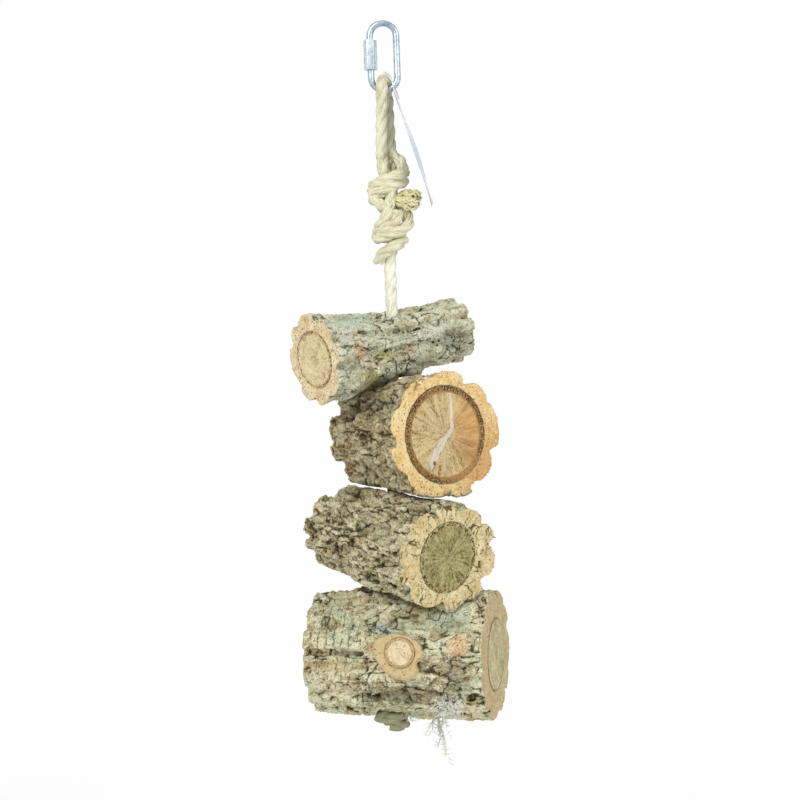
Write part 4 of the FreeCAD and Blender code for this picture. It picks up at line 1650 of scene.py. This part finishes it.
    def on_face(self, q: Vector, way: Vector) -> float:
        """How far a point lies on a sawn face or on the cut branch.

        Args:
            q: The point in the log's own frame, in millimetres.
            way: Its normal there.

        Returns:
            The share from 0 to 1.
        """
        end = unit((abs(q.x) - self.length / 2 + self.face_start) / self.face_fade)
        return max(end if abs(way.x) > 0.6 else end * 0.3, self.on_stub(q))

    def loose(self, q: Vector, hole: Vector) -> float:
        """How far the bark may be broken up, which ends at its inner wall and at the rope.

        Args:
            q: A point in the log's own frame, in millimetres.
            hole: The same point in the stack's frame.

        Returns:
            The share from 0 to 1.
        """
        pocket = self.stub_shift is not None and hole.z < self.pocket_top
        rim = self.pocket_rim if pocket else self.bore_rim
        wall = unit((math.hypot(q.y, q.z) - self.wall(q.x) - self.wall_rim) / self.wall_fade)
        return wall * unit((math.hypot(hole.x, hole.y) - rim) / self.bore_fade)

    def bark(self, finish: bpy.types.Material) -> bpy.types.Object:
        """Make the cork bark: the CAD bark broken up into plates, cracks and crumbs.

        Args:
            finish: Its material.

        Returns:
            The bark.
        """
        mesh = self.start_mesh()
        shape = shape_of(mesh)
        bpy.data.meshes.remove(mesh)
        bmesh.ops.smooth_vert(shape, verts=shape.verts, factor=0.5, use_axis_x=True, use_axis_y=True,
                              use_axis_z=True)
        shape.normal_update()
        inverse = self.place().inverted()
        turn = inverse.to_3x3()
        upright = stack_frame().inverted()
        depth_layer = shape.verts.layers.float.new("depth")
        sawn_layer = shape.verts.layers.float.new("sawn")
        relief_layer = shape.verts.layers.float.new("relief")
        trees = self.turned_neighbours()
        moves = []
        for vert in shape.verts:
            q = (inverse @ vert.co) / MM
            inner = self.loose(q, (upright @ vert.co) / MM)
            if inner <= 0:
                moves.append(vert.co.copy())
                continue
            face_mask = self.on_face(q, turn @ vert.normal)
            calm = self.calm(vert.co) if vert.normal.y < 0 else 0.0
            skin, crack = self.relief.skin(q, calm) if face_mask < 1 else (0.0, 0.0)
            face = self.relief.face(q) if face_mask > 0 else 0.0
            bulge, free = self.swelling(trees, vert.co) if face_mask < 1 else (0.0, 0.0)
            amount = max(skin - self.proud - bulge, -free) * (1 - face_mask) + face * face_mask
            amount = min(amount, max(0.0, math.hypot(q.y, q.z) - self.wall(q.x) - self.least_wall))
            moves.append(vert.co - vert.normal * (amount * inner * MM))
            # These layers darken the cracks and hollows in the finish: partly darker cork, partly painted
            # shade.
            vert[depth_layer] = max(0.0, crack * (1 - face_mask) + face / self.full_face * face_mask) * inner
            vert[relief_layer] = skin / self.full_relief * (1 - face_mask)
            vert[sawn_layer] = face_mask
        for vert, spot in zip(shape.verts, moves):
            vert.co = spot
        bmesh.ops.recalc_face_normals(shape, faces=shape.faces)
        made = piece_of(self.name + "_cork", self.body, shape, finish)
        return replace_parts(made, self.name + "_bark")

    def build(self) -> None:
        """Make the bark, and dress the ring and the wood."""
        place = self.place()
        made = self.bark(self.cork.material(place))
        self.body + "_bark"
        walls = (self.wall(0.0), self.wall(1.0) - self.wall(0.0))
        ring = self.ring.material(place, self.length, walls, self.inner_bark)
        dress(self.name + "_inner_bark", ring)
        dress(self.name + "_wood", self.core.material(place))


LOGS: tuple[CorkLog, ...] = (
    CorkLog(
        "top_log", "top", heading=217.0, dip=10.0, length=109.0, middle=(-2.9, 2.2),
        radii=(20.3, 20.4, 27.9), widen=0.92, wood=0.56, inner_bark=1.4, axis_height=-20.4,
        relief=Relief(
            plate=(24.0, 13.0), plate_depth=0.9, fissure_depth=1.8, fissure_width=0.11, pit_depth=1.2,
            pit_share=0.2, crumble=0.6, fine=0.35, crack_width=0.1, seed=1.0),
        cork=CorkFinish(
            "top_cork", deep=srgb(52, 44, 30), dark=srgb(108, 99, 76), mid=srgb(176, 171, 140),
            pale=srgb(226, 222, 192), crust=srgb(178, 182, 154), crust_pale=srgb(214, 217, 192),
            crust_share=0.66, rust=0.5, face=srgb(219, 200, 159), face_warm=srgb(204, 171, 118),
            face_pale=srgb(233, 220, 187), face_dark=srgb(98, 72, 42),
            patches=(
                Patch(-24.5, -177.1, 14.0, 6.0, srgb(188, 206, 190), 0.8, 0.3, 0.8),
                Patch(-20.3, -195.7, 4.0, 6.0, srgb(212, 184, 146), 0.75, 0.5),
                Patch(-6.8, -198.0, 6.5, 3.4, srgb(214, 208, 148), 0.75, 0.6),
                Patch(-13.9, -211.5, 5.5, 4.5, srgb(196, 190, 118), 0.65, 0.6),
                # A darker patch low on the right end.
                Patch(39.0, -190.0, 15.0, 11.0, srgb(128, 129, 106), 0.6, 0.4, 0.8, 34.0),
                Patch(37.1, -174.6, 12.0, 2.4, srgb(204, 192, 156), 0.6, 0.4, 0.5, 34.0))),
        ring=InnerBarkFinish(
            "top_ring", deep=srgb(80, 58, 34), mid=srgb(140, 110, 70), fleck=srgb(220, 196, 148),
            scale=1.2, flecked=0.8, broken=0.8),
        core=WoodFinish(
            "top_core", pale=srgb(222, 207, 170), mid=srgb(203, 185, 141), deep=srgb(156, 130, 88),
            rays=7.0, ray_share=0.2, ring_gap=4.2, ring_share=0.08, speck=0.6),
        neighbours=(("second_log", -30.0, 40.0),),
        calm_spots=((-24.5, -178.0, 13.0, 6.5), (36.0, -169.0, 17.0, 4.5), (40.0, -181.0, 11.0, 5.0))),
    CorkLog(
        "second_log", "second", heading=-54.0, dip=0.0, length=73.5, middle=(9.4, -3.8),
        radii=(31.6, 32.2, 38.3), widen=1.07, wood=0.65, inner_bark=4.2, axis_height=-74.4943,
        relief=Relief(
            plate=(11.0, 8.0), plate_depth=1.3, fissure_depth=1.8, fissure_width=0.12, pit_depth=1.6,
            pit_share=0.3, crumble=0.8, fine=0.3, lump=1.2, seed=2.0),
        cork=CorkFinish(
            "second_cork", deep=srgb(62, 52, 36), dark=srgb(118, 106, 78), mid=srgb(164, 152, 118),
            pale=srgb(206, 195, 158), crust=srgb(160, 157, 126), crust_pale=srgb(192, 188, 156),
            crust_share=0.4, rust=0.6, face=srgb(232, 202, 144), face_warm=srgb(216, 172, 108),
            face_pale=srgb(242, 220, 168), face_dark=srgb(124, 90, 50),
            face_patches=(
                Patch(9.0, -250.0, 8.0, 20.0, srgb(238, 216, 158), 0.6, 0.3, 0.5),
                Patch(50.0, -262.0, 22.0, 30.0, srgb(206, 164, 106), 0.85, 0.4, 0.8))),
        ring=InnerBarkFinish(
            "second_ring", deep=srgb(50, 32, 16), mid=srgb(88, 61, 32), fleck=srgb(196, 160, 104),
            scale=0.9, flecked=0.6, broken=0.25,
            patches=(
                Patch(42.0, -268.0, 20.0, 14.0, srgb(182, 140, 86), 0.75, 0.3, 0.8),
                Patch(14.0, -262.0, 12.0, 12.0, srgb(150, 112, 66), 0.35, 0.3, 0.8)),
            inside=srgb(170, 132, 82)),
        core=WoodFinish(
            "second_core", pale=srgb(212, 192, 148), mid=srgb(190, 168, 122), deep=srgb(130, 98, 60),
            rays=10.0, ray_share=0.42, ring_gap=3.4, ring_share=0.04, speck=0.7,
            patches=(
                Patch(47.0, -240.5, 18.0, 28.0, srgb(208, 162, 102), 0.8, 0.15, 0.8),
                Patch(42.0, -257.0, 11.0, 11.0, srgb(166, 122, 74), 0.55, 0.4, 0.9),
                Streak(
                    (
                        (-266.5, 19.0, 0.01), (-262.0, 20.2, 2.0), (-255.2, 23.1, 2.3),
                        (-248.4, 27.2, 2.2), (-244.5, 30.8, 1.5), (-241.6, 32.2, 1.1),
                        (-231.8, 32.0, 0.8), (-220.3, 31.8, 0.7), (-213.0, 31.6, 0.01)),
                    srgb(226, 216, 206)),
                Streak(
                    ((-235.6, 25.4, 0.01), (-232.0, 22.4, 0.5), (-227.6, 18.6, 0.01)), srgb(104, 76, 46)),
                Patch(21.2, -262.2, 1.0, 1.5, srgb(110, 92, 70), 0.9, 0.2))),
        neighbours=(("top_log", -40.0, 30.0), ("third_log", -15.0, 30.0))),
    CorkLog(
        "third_log", "third", heading=-50.0, dip=8.0, length=99.0, middle=(0.2, -7.9),
        radii=(25.8, 27.8, 31.7), widen=1.22, wood=0.59, inner_bark=2.4, axis_height=-137.9729,
        relief=Relief(
            plate=(13.0, 6.5), plate_depth=1.4, fissure_depth=2.0, fissure_width=0.12, pit_depth=1.8,
            pit_share=0.35, crumble=0.9, fine=0.3, lump=1.2, face_crack=1.6, face_cell=5.0, seed=3.0),
        cork=CorkFinish(
            "third_cork", deep=srgb(46, 40, 28), dark=srgb(100, 92, 68), mid=srgb(168, 160, 127),
            pale=srgb(222, 214, 178), crust=srgb(168, 165, 131), crust_pale=srgb(204, 199, 164),
            crust_share=0.4, rust=0.6, face=srgb(218, 201, 152), face_warm=srgb(198, 170, 118),
            face_pale=srgb(234, 220, 176), face_dark=srgb(84, 64, 40)),
        ring=InnerBarkFinish(
            "third_ring", deep=srgb(56, 45, 26), mid=srgb(100, 86, 54), fleck=srgb(196, 180, 126),
            scale=0.9, flecked=0.9, broken=0.75),
        core=WoodFinish(
            "third_core", pale=srgb(180, 172, 122), mid=srgb(148, 139, 92), deep=srgb(82, 70, 38),
            rays=9.0, ray_share=0.42, ring_gap=3.2, ring_share=0.04, speck=0.8),
        neighbours=(("second_log", -30.0, 15.0), ("bottom_log", 0.0, 45.0))),
    CorkLog(
        "bottom_log", "bottom", heading=-15.0, dip=0.0, length=110.0, middle=(7.4, 5.6),
        radii=(37.0, 39.2, 39.2), widen=1.0, wood=0.53, inner_bark=1.2, axis_height=-206.2209,
        relief=Relief(
            plate=(30.0, 15.0), plate_depth=1.2, crack_width=0.09, fissure_depth=1.6, fissure_width=0.09,
            pit_depth=1.2, pit_share=0.15, cross_gap=9.0, cross_depth=0.9, crumble=0.55, fine=0.2,
            face_crack=0.5, seed=4.0),
        cork=CorkFinish(
            "bottom_cork", deep=srgb(46, 39, 27), dark=srgb(106, 97, 72), mid=srgb(182, 173, 138),
            pale=srgb(224, 217, 182), crust=srgb(184, 187, 151), crust_pale=srgb(216, 218, 187),
            crust_share=0.5, rust=0.7, face=srgb(198, 181, 139), face_warm=srgb(182, 159, 114),
            face_pale=srgb(211, 198, 160), face_dark=srgb(112, 90, 58),
            patches=(
                Patch(28.5, -355.5, 13.5, 6.0, srgb(206, 218, 196), 0.85, 0.3, 0.5),
                Patch(30.1, -367.8, 7.5, 7.0, srgb(224, 186, 142), 0.75, 0.3, 0.5),
                Patch(23.3, -406.8, 9.0, 7.5, srgb(226, 230, 216), 0.5, 0.6),
                Patch(-12.6, -358.8, 8.0, 3.8, srgb(190, 204, 198), 0.75, 0.25, 0.5),
                Patch(-42.0, -357.5, 17.0, 12.0, srgb(200, 208, 176), 0.45, 0.5, 0.6),
                # These two dark patches are painted shade over the lower half of the front.
                Patch(28.0, -386.0, 13.0, 13.0, srgb(106, 94, 68), 0.6, 0.5, 0.8),
                Patch(-2.0, -398.0, 36.0, 10.0, srgb(106, 102, 78), 0.6, 0.6, 0.8),
                Patch(-42.0, -380.0, 16.0, 5.5, srgb(204, 186, 140), 0.6, 0.5, 0.7),
                # Painted shadow under the overhanging plate along the furrow.
                Patch(-40.0, -373.2, 20.0, 1.5, srgb(104, 86, 58), 0.6, 0.5)),
            bands=(
                Patch(-44.0, -360.0, 20.0, 15.0, srgb(118, 106, 78), 1.0, 0.2, 0.4),
                Patch(-44.0, -386.0, 13.0, 9.0, srgb(118, 106, 78), 1.0, 0.2, 0.4)),
            face_patches=(Patch(-3.3, -372.0, 21.0, 18.0, srgb(204, 180, 134), 0.8, 0.1),)),
        ring=InnerBarkFinish(
            "bottom_ring", deep=srgb(122, 102, 68), mid=srgb(152, 134, 94), fleck=srgb(186, 170, 126),
            scale=1.3, flecked=0.7, broken=0.5),
        core=WoodFinish(
            "bottom_core", pale=srgb(204, 196, 156), mid=srgb(178, 170, 128), deep=srgb(142, 132, 92),
            rays=6.0, ray_share=0.15, ring_gap=4.0, ring_share=0.06, speck=0.35),
        neighbours=(("third_log", -45.0, 0.0),), stub_shift=7.3,
        calm_spots=(
            (-46.0, -352.0, 17.0, 9.0), (-44.0, -365.0, 19.0, 7.0), (-43.0, -385.0, 12.0, 7.0),
            (28.0, -354.5, 12.0, 5.5), (30.0, -367.8, 8.0, 7.0)),
        voxel=1.0),
)


@dataclass
class CutBranch:
    """The cut branch on the bottom log's front: its place in the stack's frame and its finishes."""

    at: Point = (2.9, -39.5, -202.0)
    heading: float = -105.0
    core: WoodFinish = WoodFinish("branch_core", srgb(224, 208, 174), srgb(214, 195, 158),
                                  srgb(184, 158, 116), rays=6.0, ray_share=0.12, ring_gap=2.6,
                                  ring_share=0.1, speck=0.35)
    ring: InnerBarkFinish = InnerBarkFinish("branch_ring", srgb(136, 108, 70), srgb(178, 150, 106),
                                            srgb(208, 184, 140), 1.3, 0.7, 0.5)

    def build(self) -> None:
        """Dress the branch's wood and its ring."""
        place = stack_frame() @ Matrix.Translation(mm(*self.at))
        place = place @ Matrix.Rotation(math.radians(self.heading), 4, "Z")
        dress("bottom_log_branch_wood", self.core.material(place))
        dress("bottom_log_branch_inner_bark", self.ring.material(place, 0.0))


@dataclass(frozen=True)
class Tuft:
    """One tuft of beard lichen: where it hangs in the stack's frame, in millimetres, and how it grows."""

    x: float
    y: float
    length: float
    spread: float
    threads: int


@dataclass
class Lichen:
    """Beard lichen under the bottom log and pale lace lichen on its front."""

    body: str = "bottom"
    seed: int = 11
    tufts: tuple[Tuft, ...] = (Tuft(26.0, -8.0, 29.0, 0.30, 5), Tuft(24.0, -9.0, 14.0, 0.6, 4),
                               Tuft(29.5, -9.0, 16.0, 0.5, 3), Tuft(12.0, -10.0, 11.0, 0.7, 5),
                               Tuft(7.0, -11.0, 8.0, 0.8, 3))
    below: float = -262.0
    in_front: float = -90.0
    waves: Point = (9.0, 8.0, 11.0)
    thread: float = 0.34
    twig: float = 0.18
    lace_x: float = 23.3
    lace_z: float = -406.8
    lace_hairs: int = 130
    lace_reach: tuple[float, float] = (2.0, 9.5)
    lace_hair: float = 0.3
    sunk: float = 0.3
    beard: FilamentFinish = FilamentFinish("beard_lichen_hair", srgb(232, 234, 220), srgb(178, 184, 156), 0.5)
    lace: FilamentFinish = FilamentFinish("lace_lichen_hair", srgb(248, 249, 243), srgb(226, 229, 216), 0.5)

    def strand(self, draw: random.Random, root: Vector, tip: Vector, wave: float, steps: int) -> list[Vector]:
        """Wavy line.

        Args:
            draw: Where its waves are drawn from.
            root: Its start, in millimetres.
            tip: Its end.
            wave: How far it sways at its end.
            steps: How many parts it has.

        Returns:
            Its points, in metres.
        """
        points = []
        phase = Vector((draw.uniform(0, 6), draw.uniform(0, 6), draw.uniform(0, 6)))
        for i in range(steps + 1):
            share = i / steps
            sway = Vector([math.sin(share * turns + start) for turns, start in zip(self.waves, phase)])
            points.append((root.lerp(tip, share) + sway * (wave * share)) * MM)
        return points

    def hang(self, draw: random.Random, root: Vector, tuft: Tuft) -> list[Line]:
        """Hanging main threads with short side branches.

        Args:
            draw: Where their sizes are drawn from.
            root: Where they hang, in millimetres.
            tuft: The tuft.

        Returns:
            The threads.
        """
        lines = []
        for _ in range(tuft.threads):
            reach = tuft.length * draw.uniform(0.45, 1.0)
            lean = Vector((draw.uniform(-1, 1) * tuft.spread, draw.uniform(-0.6, 0.6) * tuft.spread, -1.0))
            main = self.strand(draw, root, root + lean.normalized() * reach, 1.1, 12)
            lines.append((main, self.thread * MM, 0.45))
            for _ in range(int(reach * 0.75)):
                at = main[draw.randrange(2, len(main))] / MM
                way = Vector((draw.uniform(-1, 1), draw.uniform(-1, 1), draw.uniform(-0.9, 0.4))).normalized()
                twig = self.strand(draw, at, at + way * draw.uniform(1.6, 4.2), 0.3, 4)
                lines.append((twig, self.twig * MM, 0.6))
        return lines

    def crust(self, draw: random.Random, bark: BVHTree) -> list[Line]:
        """Short hairs of the lace lichen.

        Args:
            draw: Where their sizes are drawn from.
            bark: The bottom log's finished bark.

        Returns:
            The hairs.
        """
        lines = []
        for _ in range(self.lace_hairs):
            angle = draw.uniform(0, math.tau)
            reach = draw.uniform(*self.lace_reach)
            x = self.lace_x + reach * math.cos(angle) * 1.15
            z = self.lace_z + reach * math.sin(angle) * 0.85
            hit, normal = bark.ray_cast(mm(x, self.in_front, z), Vector((0, 1, 0)))[:2]
            if hit is None:
                continue
            root = hit / MM - normal * self.sunk
            side = normal.orthogonal().normalized()
            way = normal * draw.uniform(0.4, 1.0) + Matrix.Rotation(draw.uniform(0, 6.28), 3, normal) @ side
            tip = root + way.normalized() * draw.uniform(1.8, 3.8)
            lines.append((self.strand(draw, root, tip, 0.8, 6), self.lace_hair * MM, 0.6))
        return lines

    def build(self) -> None:
        """Make both lichens on the bottom log's finished bark."""
        draw = random.Random(self.seed)
        cork = bpy.data.objects["bottom_log_cork"].data
        faces = [face.vertices for face in cork.polygons]
        bark = BVHTree.FromPolygons([vert.co for vert in cork.vertices], faces)
        place = stack_frame()
        lines = []
        for tuft in self.tufts:
            hit = bark.ray_cast(place @ mm(tuft.x, tuft.y, self.below), Vector((0, 0, 1)))[0]
            if hit is not None:
                lines += self.hang(draw, hit / MM + Vector((0, 0, 0.6)), tuft)
        made = piece_of("beard_lichen_hairs", self.body, cords_mesh(lines, 4, "beard"), self.beard.material())
        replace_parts(made, "beard_lichen")
        mesh = cords_mesh(self.crust(draw, bark), 4, "lace")
        made = piece_of("lace_lichen", self.body, mesh, self.lace.material())


@dataclass(frozen=True)
class Lamp:
    """A soft square lamp that faces the perch: place in millimetres, width in metres, power in watts."""

    name: str
    at: Point
    width: float
    power: float


@dataclass
class Studio:
    """Camera, soft lamps, pale floor and white surroundings."""

    distance: float = 1400.0
    aim_x: float = 2.3
    aim_z: float = -224.4
    roll: float = -2.1
    lens: float = 105.0
    sensor: float = 36.0
    floor_height: float = -560.0
    floor_half: float = 8.0
    floor_colour: Colour = srgb(250, 250, 250)
    shadow_edge: tuple[float, float] = (0.3, 1.2)
    sky: float = 0.48
    lit_height: float = -230.0
    lamps: tuple[Lamp, ...] = (Lamp("key_lamp", (-900, -1300, 700), 1.1, 19.5),
                               Lamp("fill_lamp", (1100, -1000, 200), 1.2, 8.5),
                               Lamp("back_lamp", (300, 1200, 800), 1.2, 11.0))

    def camera(self) -> None:
        """Place the camera at the photograph's viewpoint."""
        data = bpy.data.cameras.new("camera")
        data.sensor_width = self.sensor
        data.lens = self.lens
        data.clip_end = 20.0
        made = bare_object("camera", data)
        turn = Matrix.Rotation(math.radians(90), 4, "X") @ Matrix.Rotation(math.radians(self.roll), 4, "Z")
        made.matrix_world = Matrix.Translation(mm(self.aim_x, -self.distance, self.aim_z)) @ turn
        bpy.context.scene.camera = made

    def light(self, lamp: Lamp) -> None:
        """Add a lamp.

        Args:
            lamp: The lamp.
        """
        data = bpy.data.lights.new(lamp.name, "AREA")
        data.size = lamp.width
        data.energy = lamp.power
        made = bare_object(lamp.name, data)
        at = mm(*lamp.at)
        facing = (mm(0, 0, self.lit_height) - at).to_track_quat("-Z", "Y")
        made.matrix_world = Matrix.Translation(at) @ facing.to_matrix().to_4x4()

    def surroundings(self) -> None:
        """White world and a pale floor that keeps the perch's shadow."""
        world = bpy.data.worlds.new("surroundings")
        bpy.context.scene.world = world
        tree = Tree("surroundings", world)
        tree.feed(tree.shader.inputs["Color"], (1, 1, 1, 1))
        tree.feed(tree.shader.inputs["Strength"], self.sky)
        tree.lit_or_seen(1.0)
        shape = bmesh.new()
        bmesh.ops.create_grid(shape, x_segments=1, y_segments=1, size=self.floor_half)
        bmesh.ops.translate(shape, verts=shape.verts, vec=mm(0, 0, self.floor_height))
        mesh = mesh_of(shape, "floor")
        floor = bare_object("floor", mesh)
        tree = Tree("pale_floor")
        x, y, _ = tree.axes(tree.node("ShaderNodeTexCoord", output="Object"))
        far = ((x * x + y * y) ** 0.5).step(*self.shadow_edge)
        tree.finish(self.floor_colour, 0.9, specular=0.1)
        tree.lit_or_seen(0.5 + far * 0.5)
        mesh.materials.append(tree.owner)

    def build(self) -> None:
        """Make the studio."""
        self.camera()
        for lamp in self.lamps:
            self.light(lamp)
        self.surroundings()
        bpy.context.scene.view_settings.view_transform = "Standard"


def main() -> None:
    """Build the dressed perch."""
    Studio().build()
    Hanging().build()
    SwingTag().build()
    QuickLink().build()
    for log in LOGS:
        log.build()
    CutBranch().build()
    Lichen().build()
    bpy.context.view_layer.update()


if __name__ == "__main__":
    main()
